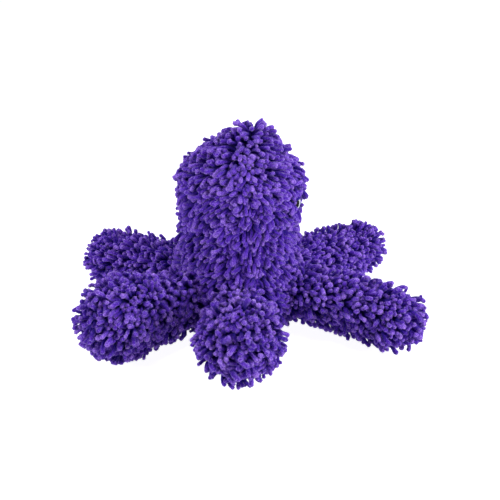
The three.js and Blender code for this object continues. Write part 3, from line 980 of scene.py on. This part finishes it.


# Materials

# How far a finger's own tone and its fuzz move its colour along the ramp from the painted shade deep in the
# pile to the painted highlight at the tips.
TONE_SPREAD = 0.36
FUZZ_SPREAD = 2.3
FUZZ_GRAIN = 0.85 * MM
CHENILLE_GLOSS = 0.15
FELT_GLOSS = 0.1


def add_node(tree, kind, links=None, **values):
    """A node of a kind with its settings and inputs. A value is a setting's, or an input's by its name with
    underscores. Links go by an input's name or number, and hold another node's output or a value."""
    node = tree.nodes.new(kind)
    for key, value in values.items():
        if hasattr(node, key):
            setattr(node, key, value)
        else:
            node.inputs[key.replace("_", " ")].default_value = value
    for key, source in (links or {}).items():
        if isinstance(source, bpy.types.NodeSocket):
            tree.links.new(source, node.inputs[key])
        else:
            node.inputs[key].default_value = source
    return node


def new_material(name):
    """A material without nodes, and its node tree."""
    material = bpy.data.materials.new(name)
    material.use_nodes = True
    material.node_tree.nodes.clear()
    return material, material.node_tree


def once(name, finish, colours):
    """The material of a name, made by its finish when the first piece asks for it."""
    return bpy.data.materials.get(name) or finish(colours)


def maths(tree, operation, *inputs):
    """The result of a Math node on outputs or numbers."""
    return add_node(tree, "ShaderNodeMath", dict(enumerate(inputs)), operation=operation).outputs[0]


def centred(tree, source, spread):
    """A value of 0 to 1 as -spread/2 to spread/2."""
    return maths(tree, "MULTIPLY_ADD", source, spread, -spread / 2)


def grain(tree, kind, size, **values):
    """A texture over the object's own coordinates, with a grain of that size."""
    place = add_node(tree, "ShaderNodeTexCoord").outputs["Object"]
    return add_node(tree, kind, {"Vector": place}, Scale=1 / size, **values).outputs["Fac"]


def ramp(tree, source, *colours):
    """The colour at a value of 0 to 1 between evenly spaced colours."""
    node = add_node(tree, "ShaderNodeValToRGB", {"Fac": source})
    elements = node.color_ramp.elements
    while len(elements) < len(colours):
        elements.new(0.5)
    for k, (element, colour) in enumerate(zip(elements, colours)):
        element.position = k / (len(colours) - 1)
        element.color = linear(colour)
    return node.outputs["Color"]


def bump(tree, height, strength, distance):
    """The normal of a surface with a height that goes up by a distance."""
    node = add_node(tree, "ShaderNodeBump", {"Height": height}, Strength=strength, Distance=distance)
    return node.outputs["Normal"]


def finish_surface(tree, shader):
    """Joins a shader to the material's output."""
    add_node(tree, "ShaderNodeOutputMaterial", {"Surface": shader.outputs[0]})


def principled(tree, links, **values):
    """Finishes a material in a Principled shader."""
    finish_surface(tree, add_node(tree, "ShaderNodeBsdfPrincipled", links, **values))


def chenille_finish(colours):
    """Microfibre chenille: short polyester fibres stand out round a core, so it is matt, with a sheen pale at
    grazing angles.
    Its colour has painted shade, darkest down in the pile, and a painted highlight at the tips, where light
    catches the fibres' ends."""
    material, tree = new_material("microfibre_chenille")
    along = add_node(tree, "ShaderNodeAttribute", attribute_name="along").outputs["Fac"]
    tone = add_node(tree, "ShaderNodeAttribute", attribute_name="tone").outputs["Fac"]
    fuzz = grain(tree, "ShaderNodeTexNoise", FUZZ_GRAIN, Detail=4.0, Roughness=0.8)
    # Painted shade and highlight: the colour rises from the deep shade at a finger's root towards the tips'
    # highlight.
    depth = add_node(tree, "ShaderNodeMapRange", {"Value": along}, From_Min=0.12, From_Max=0.72, To_Max=0.62)
    toned = maths(tree, "ADD", depth.outputs[0], centred(tree, tone, TONE_SPREAD))
    varied = maths(tree, "ADD", toned, centred(tree, fuzz, FUZZ_SPREAD))
    shown = add_node(tree, "ShaderNodeMapRange", {"Value": along}, From_Min=0.2, From_Max=0.75)
    links = {
        "Base Color": ramp(tree, varied, colours.painted_deep_shade, colours.pile, colours.tips),
        "Normal": bump(tree, fuzz, 1.0, 1.0 * MM),
        "Sheen Weight": shown.outputs[0],
    }
    sheen = {"Sheen_Roughness": 0.28, "Sheen_Tint": linear(colours.sheen)}
    principled(tree, links, Roughness=0.9, Specular_IOR_Level=CHENILLE_GLOSS, **sheen)
    return material


def plastic_finish(colours):
    """Soft moulded PVC: smooth, with a low gloss and a little light through its thin walls."""
    material, tree = new_material("soft_moulded_plastic")
    cloud = grain(tree, "ShaderNodeTexNoise", 4 * MM, Detail=3.0)
    gloss = add_node(tree, "ShaderNodeMapRange", {"Value": cloud}, To_Min=0.3, To_Max=0.45)
    depth = {"Subsurface_Weight": 0.15, "Subsurface_Scale": 2 * MM}
    principled(tree, {"Roughness": gloss.outputs[0]}, Base_Color=linear(colours.squeaker), **depth)
    return material


def backing_finish(colours):
    """Warp-knit polyester backing: fine wales in the pile's darkest colour, without gloss. Its near-black
    colour is painted shade down between the fingers.
    """
    material, tree = new_material("knitted_backing")
    knit = grain(tree, "ShaderNodeTexWave", 1.2 * MM, Distortion=2.0, Detail=2.0)
    colour = ramp(tree, knit, colours.backing, colours.painted_deep_shade)
    principled(tree, {"Base Color": colour, "Normal": bump(tree, knit, 0.4, 0.3 * MM)}, Roughness=0.95)
    return material


def felt_finish(name, colour, nap_shine):
    """Pressed wool felt: matt and even, with a soft nap of crossing fibres."""
    material, tree = new_material(name)
    nap = grain(tree, "ShaderNodeTexNoise", 0.7 * MM, Detail=5.0, Roughness=0.7)
    matt = {"Roughness": 0.9, "Specular_IOR_Level": FELT_GLOSS, "Sheen_Weight": nap_shine}
    principled(tree, {"Normal": bump(tree, nap, 0.5, 0.2 * MM)}, Base_Color=linear(colour), **matt)
    return material


def fibrefill_finish(colours):
    """Hollow polyester fibre, carded and stuffed: white, matt, with clumps and strands."""
    material, tree = new_material("polyester_fibrefill")
    clumps = grain(tree, "ShaderNodeTexNoise", 6 * MM, Detail=8.0, Roughness=0.7)
    matt = {"Roughness": 0.9, "Sheen_Weight": 0.4}
    normal = bump(tree, clumps, 0.8, 2 * MM)
    principled(tree, {"Normal": normal}, Base_Color=linear(colours.fibrefill), **matt)
    return material


# Settings


class StageSettings(bpy.types.PropertyGroup):
    """The camera and the lights."""

    elevation: FloatProperty(
        name="Elevation",
        description="Camera's height above the horizon",
        default=math.radians(26),
        unit="ROTATION",
    )
    distance: FloatProperty(
        name="Distance",
        description="From the camera to the toy",
        default=0.48,
        unit="LENGTH",
    )
    lens: FloatProperty(name="Lens", description="Focal length of the camera in mm", default=47.0)
    above: FloatProperty(name="Above", description="Power of the softbox above", default=3.95, unit="POWER")
    right: FloatProperty(
        name="Right", description="Power of the softbox on the right", default=10.7, unit="POWER"
    )
    left: FloatProperty(
        name="Left",
        description="Power of the softbox on the left",
        default=7.8,
        unit="POWER",
    )
    behind: FloatProperty(name="Behind", description="Power of the softbox behind", default=5.2, unit="POWER")
    around: FloatProperty(name="Around", description="Strength of the even light all round", default=0.04)


class ColourSettings(bpy.types.PropertyGroup):
    """Colours as sRGB hex values."""

    # Painted shade: this colour darkens the fingers low down between each other, and the backing's wales.
    painted_deep_shade: StringProperty(
        name="Deep pile",
        description="Colour low down between the fingers",
        default="#160672",
    )
    pile: StringProperty(name="Pile", description="Colour of the fingers", default="#5729B8")
    # Painted highlight: this colour lightens the fingers' ends and the bristles' tips, where light catches
    # the fibres.
    tips: StringProperty(name="Tips", description="Colour of the painted highlight on the fingers' ends", default="#AC82F0")
    sheen: StringProperty(
        name="Sheen",
        description="Colour of the sheen on the fibres' ends",
        default="#D2BCFF",
    )
    # Painted shade: the backing is near-black for the shade down between the fingers.
    backing: StringProperty(name="Backing", description="Colour of the knitted backing", default="#140860")
    eye_white: StringProperty(name="Eye white", description="Colour of the pale felt", default="#A8ACB6")
    eye_pupil: StringProperty(name="Eye pupil", description="Colour of the dark felt", default="#0C0B0E")
    fibrefill: StringProperty(name="Fibre fill", description="Colour of the stuffing", default="#EDEBE4")
    squeaker: StringProperty(name="Squeaker", description="Colour of the soft plastic", default="#E6E2D4")


class PileSettings(bpy.types.PropertyGroup):
    """The chenille fingers."""

    spacing: FloatProperty(
        name="Spacing", description="Mean distance between roots", default=3.6 * MM, min=2 * MM, unit="LENGTH"
    )
    root_scatter: FloatProperty(
        name="Root scatter",
        description="Share of the spacing by which roots stray",
        default=0.16,
        subtype="FACTOR",
    )
    length: FloatProperty(
        name="Length",
        description="Mean length of a finger",
        default=12.4 * MM,
        unit="LENGTH",
    )
    length_spread: FloatProperty(
        name="Length spread", description="Share by which lengths differ", default=0.14, subtype="FACTOR"
    )
    thickness: FloatProperty(
        name="Thickness", description="Mean thickness of a finger", default=2.88 * MM, unit="LENGTH"
    )
    thickness_spread: FloatProperty(
        name="Thickness spread",
        description="Share by which thicknesses differ",
        default=0.13,
        subtype="FACTOR",
    )
    pile_height: FloatProperty(
        name="Pile height",
        description="From the backing to the fingers' ends",
        default=8.2 * MM,
        unit="LENGTH",
    )
    squeeze: FloatProperty(
        name="Squeeze",
        description="Share of their thickness that fingers keep apart",
        default=0.98,
        subtype="FACTOR",
    )
    loop_share: FloatProperty(name="Loops", description="Share of fingers that are loops", default=0.04)
    proud_share: FloatProperty(
        name="Proud",
        description="How many fingers end higher than the rest",
        default=1.0,
    )
    stray_share: FloatProperty(
        name="Strays",
        description="Share of fingers that stand right out",
        default=0.02,
    )
    rounds: IntProperty(name="Rounds", description="Rounds of settling", default=60, min=1)
    seed: IntProperty(name="Seed", description="Seed of the random draws", default=7)


# Stage


def white_rays(tree):
    """A value of 1 for the rays that see the white surroundings: camera, glossy and transmission rays."""
    rays = add_node(tree, "ShaderNodeLightPath").outputs
    seen = maths(tree, "MAXIMUM", rays["Is Camera Ray"], rays["Is Glossy Ray"])
    return maths(tree, "MAXIMUM", seen, rays["Is Transmission Ray"])


def mixed(tree, share, first, second):
    """A shader that goes from the first to the second with a share of 0 to 1."""
    return add_node(tree, "ShaderNodeMixShader", {0: share, 1: first.outputs[0], 2: second.outputs[0]})


def added(tree, first, second):
    """A shader that is the sum of two."""
    return add_node(tree, "ShaderNodeAddShader", {0: first.outputs[0], 1: second.outputs[0]})


def aimed(name, data, place):
    """A camera or lamp at a place, turned to look at the toy."""
    thing = bpy.data.objects.new(name, data)
    thing.location = place
    thing.rotation_euler = (AIM - thing.location).to_track_quat("-Z", "Y").to_euler()
    bpy.context.scene.collection.objects.link(thing)
    return thing


def studio_world(strength):
    """Surroundings that look white and give a weak even light."""
    world = bpy.data.worlds.new("studio")
    world.use_nodes = True
    tree = world.node_tree
    tree.nodes.clear()
    soft = add_node(tree, "ShaderNodeBackground", Color=WHITE, Strength=strength)
    seen = add_node(tree, "ShaderNodeBackground", Color=WHITE, Strength=1.0)
    mix = mixed(tree, white_rays(tree), soft, seen)
    add_node(tree, "ShaderNodeOutputWorld", {"Surface": mix.outputs[0]})
    return world


def floor_finish():
    """Matt white paper, which shows the toy's soft shadow and glows white further out. To the toy's lighting
    rays it also glows, which stands in for light bounced up off the paper.
    """
    material, tree = new_material("white_floor")
    matt = add_node(tree, "ShaderNodeBsdfDiffuse", Color=FLOOR_COLOUR)
    # A glow that stands in for light bounced off the floor onto the toy.
    lit = add_node(tree, "ShaderNodeEmission", Color=WHITE, Strength=FLOOR_BOUNCE_GLOW)
    place = add_node(tree, "ShaderNodeTexCoord").outputs["Object"]
    away = add_node(tree, "ShaderNodeVectorMath", {0: place}, operation="LENGTH").outputs["Value"]
    rise = {"From_Min": FLOOR_GLOW_START, "From_Max": FLOOR_GLOW_END, "To_Min": FLOOR_GLOW}
    whiter = add_node(tree, "ShaderNodeMapRange", {"Value": away}, **rise)
    shaded = add_node(tree, "ShaderNodeBsdfDiffuse", Color=FLOOR_SHADE)
    glow = add_node(tree, "ShaderNodeEmission", {"Strength": whiter.outputs[0]}, Color=WHITE)
    finish_surface(tree, mixed(tree, white_rays(tree), added(tree, matt, lit), added(tree, shaded, glow)))
    return material


class OCTOPUS_OT_stage(bpy.types.Operator):
    """Makes the camera, the lights and the pale floor"""

    bl_idname = "octopus.stage"
    bl_label = "Stage"

    def execute(self, context):
        scene = context.scene
        settings = scene.octopus_stage
        way = Vector((-math.cos(settings.elevation), 0, math.sin(settings.elevation)))
        data = bpy.data.cameras.new("camera")
        data.sensor_width = SENSOR_WIDTH
        data.lens = settings.lens
        data.shift_x, data.shift_y = FRAMING_SHIFT
        scene.camera = aimed("camera", data, AIM + settings.distance * way)
        scene.view_settings.view_transform = "Standard"
        scene.world = studio_world(settings.around)
        for name, (place, size) in SOFTBOXES.items():
            lamp = bpy.data.lights.new(f"softbox_{name}", "AREA")
            lamp.shape = "SQUARE"
            lamp.size = size
            lamp.energy = getattr(settings, name)
            aimed(f"softbox_{name}", lamp, place)
        corners = FLOOR_HALF * np.array([[-1, -1, 0], [1, -1, 0], [1, 1, 0], [-1, 1, 0]])
        floor = new_mesh("floor", corners, [np.array([[0, 1, 2, 3]])], floor_finish())
        return {"FINISHED"}


def carry(thing, form):
    """The head's fabric rides on the head. An arm's has its place baked into its mesh."""
    if form.body == "head":
        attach(thing, "head")
        return
    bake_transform(thing)


def cover(name, form, grid, colours):
    """One sewn panel: its knitted backing from a grid of points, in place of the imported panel."""
    thing = panel_mesh(name, grid, once("knitted_backing", backing_finish, colours))
    carry(thing, form)
    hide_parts(name)


class OCTOPUS_OT_head_cover(bpy.types.Operator):
    """Makes the backing of the base panel and of the head's four gores"""

    bl_idname = "octopus.head_cover"
    bl_label = "Head cover"

    def execute(self, context):
        colours = context.scene.octopus_colours
        form = HeadForm(PILE_DEPTH)
        rows = form.rows[: form.BASE_STEPS][::-1, None]
        heading = np.linspace(0, -TURN, BASE_COLUMNS)[None]
        cover("base_panel", form, head_surface(rows, heading), colours)
        rows = form.rows[form.BASE_STEPS :, None]
        for name, middle in GORE_HEADINGS.items():
            heading = np.linspace(middle - math.pi / 4, middle + math.pi / 4, COVER_COLUMNS)[None]
            cover(f"head_gore_{name}", form, head_surface(rows, heading), colours)
        return {"FINISHED"}


class OCTOPUS_OT_arm_covers(bpy.types.Operator):
    """Makes the backing of the top and under panel of each arm"""

    bl_idname = "octopus.arm_covers"
    bl_label = "Arm covers"

    def execute(self, context):
        colours = context.scene.octopus_colours
        for side in ARM_SIDES:
            form = ArmForm(side, PILE_DEPTH)
            outline = form.outline(form.depth, -ARM_BACK_LENGTH)
            for part, first in (("top", 0.0), ("under", math.pi)):
                turn = np.linspace(first, first + math.pi, COVER_COLUMNS)[None]
                cover(f"arm_{side}_{part}_cover", form, form.surface(outline[:, None], turn), colours)
        return {"FINISHED"}


class OCTOPUS_OT_pile(bpy.types.Operator):
    """Grows, settles and skins the chenille pile of every panel"""

    bl_idname = "octopus.pile"
    bl_label = "Pile"

    def execute(self, context):
        settings = context.scene.octopus_pile
        pile = chenille_finish(context.scene.octopus_colours)
        head = HeadForm(PILE_DEPTH)
        forms = [head, *(ArmForm(side, PILE_DEPTH) for side in ARM_SIDES)]
        eyes = [Eye("white", side) for side in EYE_SIDES]
        rng = np.random.default_rng(settings.seed)
        grown = [grow(form, k, settings, rng) for k, form in enumerate(forms)]
        fingers = joined([g[0] for g in grown], False)
        loops = joined([g[1] for g in grown], True)
        groups = [apart(g, forms, eyes) for g in (fingers, loops)]
        Settling(groups, forms, eyes, settings).settle(settings.rounds)
        owners = {"base_panel": head}
        owners.update({f"head_gore_{name}": head for name in GORE_HEADINGS})
        for form in forms[1:]:
            owners.update({f"arm_{form.side}_{part}_cover": form for part in ("top", "under")})
        for name, form in owners.items():
            parts = [skin(g, g.panel == name, rng) for g in groups]
            starts = np.cumsum([0] + [len(part.vertices) for part in parts])
            faces = [f + start for part, start in zip(parts, starts) for f in part.faces]
            attributes = {
                kind: np.concatenate([getattr(part, kind) for part in parts]) for kind in ("along", "tone")
            }
            vertices = np.concatenate([part.vertices for part in parts])
            thing = new_mesh(f"{name}_pile", vertices, faces, pile, attributes)
            carry(thing, form)
        return {"FINISHED"}


def apart(group, forms, eyes):
    """A group without the strands whose roots lie inside another form or under an eye."""
    root = group.points[:, 0]
    keep = np.ones(len(root), bool)
    for k, form in enumerate(forms):
        keep &= (group.owner == k) | (form.height(root) > ROOT_CLEARANCE)
    for eye in eyes:
        keep &= np.linalg.norm(root - eye.middle, axis=1) > EYE_CLEARING
    parts = [a[keep] for a in (group.points, group.radius, group.over, group.owner, group.panel)]
    return Strands(*parts, group.looped)


class Eye:
    """Where a packed eye disc is: its middle, the way it looks, its radius and its thickness.

    The near rim of each eye sinks into the cheek's pile, so both discs of an eye are turned outwards about
    the middle of its white.
    """

    def __init__(self, part, side):
        self.name = f"eye_{part}_{side}"
        points = mesh_points(frame["nodes"][self.name])
        seat = mesh_points(frame["nodes"][f"eye_white_{side}"])
        middle = (points.max(0) + points.min(0)) / 2
        pivot = (seat.max(0) + seat.min(0)) / 2
        way = np.linalg.svd(points - points.mean(0), full_matrices=False)[2][-1]
        way = way * np.sign(way @ (middle * [1, 1, 0]))
        along = (points - middle) @ way
        aside = (points - middle) - along[:, None] * way
        self.thickness = along.max() - along.min()
        self.radius = np.linalg.norm(aside, axis=1).max()
        turn = EYE_TURN * np.sign(middle[0])
        cosine, sine = math.cos(turn), math.sin(turn)
        self.way = np.array([cosine * way[0] - sine * way[1], sine * way[0] + cosine * way[1], way[2]])
        self.middle = pivot + ((middle - pivot) @ way - EYE_SINK) * self.way
        self.across = unit(np.cross(UP, self.way))
        self.up = np.cross(self.way, self.across)
        self.cheek = self.across * np.sign(self.across[0] * middle[0])
        if part == "pupil":
            thinned = (1 - PUPIL_THIN_SHARE) * self.thickness
            self.thickness -= thinned
            self.middle = self.middle - thinned / 2 * self.way + PUPIL_GLANCE * self.cheek

    def clearing(self, aside):
        """How far from its axis the pile keeps off the eye: it lies over the rim on the cheek's side."""
        covered = smooth(aside @ self.cheek / self.radius + EYE_RIM_COVER_START)
        return self.radius * (1 - EYE_RIM_COVER * covered)

    def flattened(self, points):
        """The share of its height that the pile keeps at the eye: it is pressed flat on the cheek's side."""
        along = (points - self.middle) @ self.way
        aside = (points - self.middle) - along[:, None] * self.way
        away = (np.linalg.norm(aside, axis=1) - self.radius) / EYE_PRESS_REACH
        pressed = EYE_PRESS * (1 - smooth(away)) * smooth(aside @ self.cheek / self.radius)
        return np.where(along > -EYE_CLEARING, 1 - pressed, 1.0)

    def turned(self, reach, along, turn):
        """Points at a reach from the eye's axis, along it from its middle, and turned about it."""
        flat = np.cos(turn)[..., None] * self.across + np.sin(turn)[..., None] * self.up
        return self.middle + reach[..., None] * flat + along[..., None] * self.way


def wheel(name, points, material):
    """A closed mesh from a grid of points whose first and last rows are poles and whose columns go round."""
    rows, columns = points.shape[:2]
    vertices = np.concatenate([points[:1, 0], points[1:-1].reshape(-1, 3), points[-1:, 0]])
    quads = grid_faces(rows - 2, columns, True) + 1
    k = np.arange(columns)
    after = (k + 1) % columns
    last = len(vertices) - 1
    low = last - columns
    first_fan = np.stack([np.zeros_like(k), after + 1, k + 1], axis=1)
    last_fan = np.stack([k + low, after + low, np.full_like(k, last)], axis=1)
    return new_mesh(name, vertices, [quads, first_fan, last_fan], material)


def felt_disc(eye, material, rng):
    """A disc of felt: crowned, with a rounded rim whose edge strays a little where it was cut."""
    half = eye.thickness / 2
    turn = np.linspace(0, TURN, EYE_STEPS, endpoint=False)
    rim = np.linspace(-math.pi / 2, math.pi / 2, EYE_RIM_ROWS)
    rim_reaches = 1 - EYE_RIM_SHARE * (1 - np.cos(rim))
    reach = np.concatenate([EYE_BACK_REACHES, rim_reaches, EYE_CROWN_REACHES])
    along = np.concatenate([-np.ones(len(EYE_BACK_REACHES)), np.sin(rim), EYE_CROWN_RISES])
    strays = (reach > EYE_STRAY_START)[:, None]
    stray = 1 + rng.normal(0, EYE_STRAY_SHARE, (len(reach), EYE_STEPS)) * strays
    grid = eye.turned(eye.radius * reach[:, None] * stray, half * along[:, None] + 0 * turn[None], turn[None])
    return wheel(eye.name, grid, material)


class OCTOPUS_OT_eyes(bpy.types.Operator):
    """Makes the felt discs of both eyes"""

    bl_idname = "octopus.eyes"
    bl_label = "Eyes"

    def execute(self, context):
        colours = context.scene.octopus_colours
        rng = np.random.default_rng(EYE_SEED)
        for part, colour, slot, nap_shine in (
            ("white", colours.eye_white, "pale_felt", 0.2),
            ("pupil", colours.eye_pupil, "dark_felt", 0.02),
        ):
            material = felt_finish(f"{part}_felt", colour, nap_shine)
            for side in EYE_SIDES:
                eye = Eye(part, side)
                thing = felt_disc(eye, material, rng)
                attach(thing, "head")
                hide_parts(eye.name)
        return {"FINISHED"}


def lumpy(name, outline, surface, still, material, rng):
    """A closed form from a resampled outline, with lumps that only go inwards, past a reach that stays still.

    A lump's depth at way w along the outline and turn t is the mean of a few sin(m t + w / pitch + phase),
    squared.
    """
    step = np.linalg.norm(np.diff(outline[:, :2], axis=0), axis=1)
    way = np.concatenate([[0], np.cumsum(step)])
    at = np.union1d(np.linspace(0, way[-1], STUFFING_ROWS), way)
    rows = np.stack([np.interp(at, way, outline[:, k]) for k in range(outline.shape[1])], axis=1)
    turn = np.linspace(0, TURN, STUFFING_COLUMNS, endpoint=False)[None]
    waves = np.zeros((len(rows), STUFFING_COLUMNS))
    for _ in range(LUMP_WAVES):
        turns, pitch = rng.integers(*LUMP_TURNS), rng.uniform(*LUMP_PITCH)
        waves += np.sin(turns * turn + TURN * at[:, None] / pitch + rng.uniform(0, TURN))
    grid = surface(rows[:, None], turn)
    off = grid - grid.mean(axis=1, keepdims=True)
    reach = np.linalg.norm(off, axis=-1)
    depth = np.minimum(LUMP_DEPTH * (waves / LUMP_WAVES) ** 2, np.maximum(0.0, reach - still))
    return wheel(name, grid - depth[..., None] * unit(off), material)


def declare_stuffing(name):
    """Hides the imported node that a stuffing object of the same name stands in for."""
    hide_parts(name)


class OCTOPUS_OT_head_stuffing(bpy.types.Operator):
    """Makes the fibre fill of the head, in two halves round the squeaker's pocket"""

    bl_idname = "octopus.head_stuffing"
    bl_label = "Head stuffing"

    def execute(self, context):
        material = once("polyester_fibrefill", fibrefill_finish, context.scene.octopus_colours)
        rng = np.random.default_rng(STUFFING_SEED)
        floor, split = (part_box("head_stuffing_lower")[k][2] for k in (0, 1))
        pocket_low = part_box("squeaker_base")[0][2] - SEAT_GAP
        pocket_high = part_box("squeaker_cap")[1][2] + SEAT_GAP
        pocket = max(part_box("squeaker_base")[1][0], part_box("squeaker_bellows")[1][0]) + SEAT_GAP
        rows = head_rows(STUFFING_DEPTH)

        def at_level(level):
            return np.array([np.interp(level, rows[:, 1], column) for column in rows.T])

        def side(bottom, top):
            between = rows[(rows[:, 1] > bottom) & (rows[:, 1] < top)]
            return np.stack([at_level(bottom), *between, at_level(top)])

        def inner(*corners):
            return np.array([[reach, level, 0, 0] for reach, level in corners])

        outer = side(floor, split)
        lower = [inner((0, floor)), outer, inner((pocket, split), (pocket, pocket_low), (0, pocket_low))]
        outer = side(split + SEAT_GAP, HEAD_HEIGHT)
        outer[-1, 0] = 0.0
        upper = [inner((0, pocket_high), (pocket, pocket_high), (pocket, split + SEAT_GAP)), outer]
        for name, outline in (("head_stuffing_lower", lower), ("head_stuffing_upper", upper)):
            still = pocket + LUMP_DEPTH
            thing = lumpy(name, np.concatenate(outline), head_surface, still, material, rng)
            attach(thing, "head")
            declare_stuffing(name)
        return {"FINISHED"}


class OCTOPUS_OT_arm_stuffing(bpy.types.Operator):
    """Makes the fibre fill of each arm"""

    bl_idname = "octopus.arm_stuffing"
    bl_label = "Arm stuffing"

    def execute(self, context):
        material = once("polyester_fibrefill", fibrefill_finish, context.scene.octopus_colours)
        rng = np.random.default_rng(STUFFING_SEED)
        for side in ARM_SIDES:
            form = ArmForm(side, STUFFING_DEPTH)
            start = np.array([[-ARM_STUFFING_BACK, 0.0]])
            outline = np.concatenate([start, form.outline(STUFFING_DEPTH, -ARM_STUFFING_BACK)])
            name = f"arm_{side}_stuffing"
            thing = lumpy(name, outline, form.surface, 0.0, material, rng)
            carry(thing, form)
            declare_stuffing(name)
        return {"FINISHED"}


def rolled(name, points, material):
    """A closed mesh from a grid of points whose rows and columns both go round."""
    at = np.arange(points.shape[0] * points.shape[1]).reshape(points.shape[:2])
    beside = np.roll(at, -1, axis=1)
    faces = np.stack([at, beside, np.roll(beside, -1, axis=0), np.roll(at, -1, axis=0)], axis=-1)
    return new_mesh(name, points.reshape(-1, 3), [faces.reshape(-1, 4)], material)


class OCTOPUS_OT_bellows(bpy.types.Operator):
    """Makes the squeaker's bellows as one fixed mesh of folds, which on the real squeaker close as its cap is
    pressed down
    """

    bl_idname = "octopus.bellows"
    bl_label = "Squeaker bellows"

    def execute(self, context):
        """The outer radius is the mean of crest and valley less a cosine of BELLOWS_FOLDS turns."""
        low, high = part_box("squeaker_bellows")
        level = np.linspace(low[2], high[2], BELLOWS_FOLDS * BELLOWS_STEPS + 1)
        phase = np.linspace(0, BELLOWS_FOLDS * TURN, len(level))
        outer = high[0] - BELLOWS_FOLD_DEPTH * (1 + np.cos(phase)) / 2
        reach = np.concatenate([outer, outer[::-1] - BELLOWS_WALL])[:, None]
        level = np.concatenate([level, level[::-1]])[:, None]
        turn = np.linspace(0, TURN, BELLOWS_COLUMNS, endpoint=False)[None]
        grid = np.stack([reach * np.cos(turn), reach * np.sin(turn), level + 0 * turn], axis=-1)
        material = once("soft_moulded_plastic", plastic_finish, context.scene.octopus_colours)
        thing = rolled("bellows", grid, material)
        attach(thing, "head")
        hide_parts("squeaker_bellows")
        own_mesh(thing)
        return {"FINISHED"}


class OCTOPUS_OT_squeaker(bpy.types.Operator):
    """Finishes the squeaker's moulded base, reed and cap"""

    bl_idname = "octopus.squeaker"
    bl_label = "Squeaker"

    def execute(self, context):
        material = once("soft_moulded_plastic", plastic_finish, context.scene.octopus_colours)
        for part in ("base", "reed", "cap"):
            mesh = frame["nodes"][f"squeaker_{part}"].data
            mesh.materials.clear()
            mesh.materials.append(material)
            mesh.shade_smooth()
            mesh.set_sharp_from_angle(angle=SQUEAKER_EDGE_ANGLE)
        return {"FINISHED"}


class VIEW3D_PT_octopus(bpy.types.Panel):
    """Lists the toy's settings and its pieces in the sidebar"""

    bl_idname = "VIEW3D_PT_octopus"
    bl_label = "Octopus dog toy"
    bl_space_type = "VIEW_3D"
    bl_region_type = "UI"
    bl_category = "Octopus"

    def draw(self, context):
        scene = context.scene
        for settings in (scene.octopus_stage, scene.octopus_colours, scene.octopus_pile):
            box = self.layout.box()
            for name in settings.bl_rna.properties.keys():
                if name not in ("rna_type", "name"):
                    box.prop(settings, name)
        for operator in OPERATORS:
            self.layout.operator(operator.bl_idname)


OPERATORS = [
    OCTOPUS_OT_stage,
    OCTOPUS_OT_head_cover,
    OCTOPUS_OT_arm_covers,
    OCTOPUS_OT_pile,
    OCTOPUS_OT_eyes,
    OCTOPUS_OT_head_stuffing,
    OCTOPUS_OT_arm_stuffing,
    OCTOPUS_OT_bellows,
    OCTOPUS_OT_squeaker,
]
CLASSES = [StageSettings, ColourSettings, PileSettings, *OPERATORS, VIEW3D_PT_octopus]


def register():
    for each in CLASSES:
        bpy.utils.register_class(each)
    bpy.types.Scene.octopus_stage = PointerProperty(type=StageSettings)
    bpy.types.Scene.octopus_colours = PointerProperty(type=ColourSettings)
    bpy.types.Scene.octopus_pile = PointerProperty(type=PileSettings)


def unregister():
    del bpy.types.Scene.octopus_pile
    del bpy.types.Scene.octopus_colours
    del bpy.types.Scene.octopus_stage
    for each in reversed(CLASSES):
        bpy.utils.unregister_class(each)


def main():
    register()
    bpy.ops.octopus.stage()
    bpy.ops.octopus.head_cover()
    bpy.ops.octopus.arm_covers()
    bpy.ops.octopus.pile()
    bpy.ops.octopus.eyes()
    bpy.ops.octopus.head_stuffing()
    bpy.ops.octopus.arm_stuffing()
    bpy.ops.octopus.bellows()
    bpy.ops.octopus.squeaker()


if __name__ == "__main__":
    main()
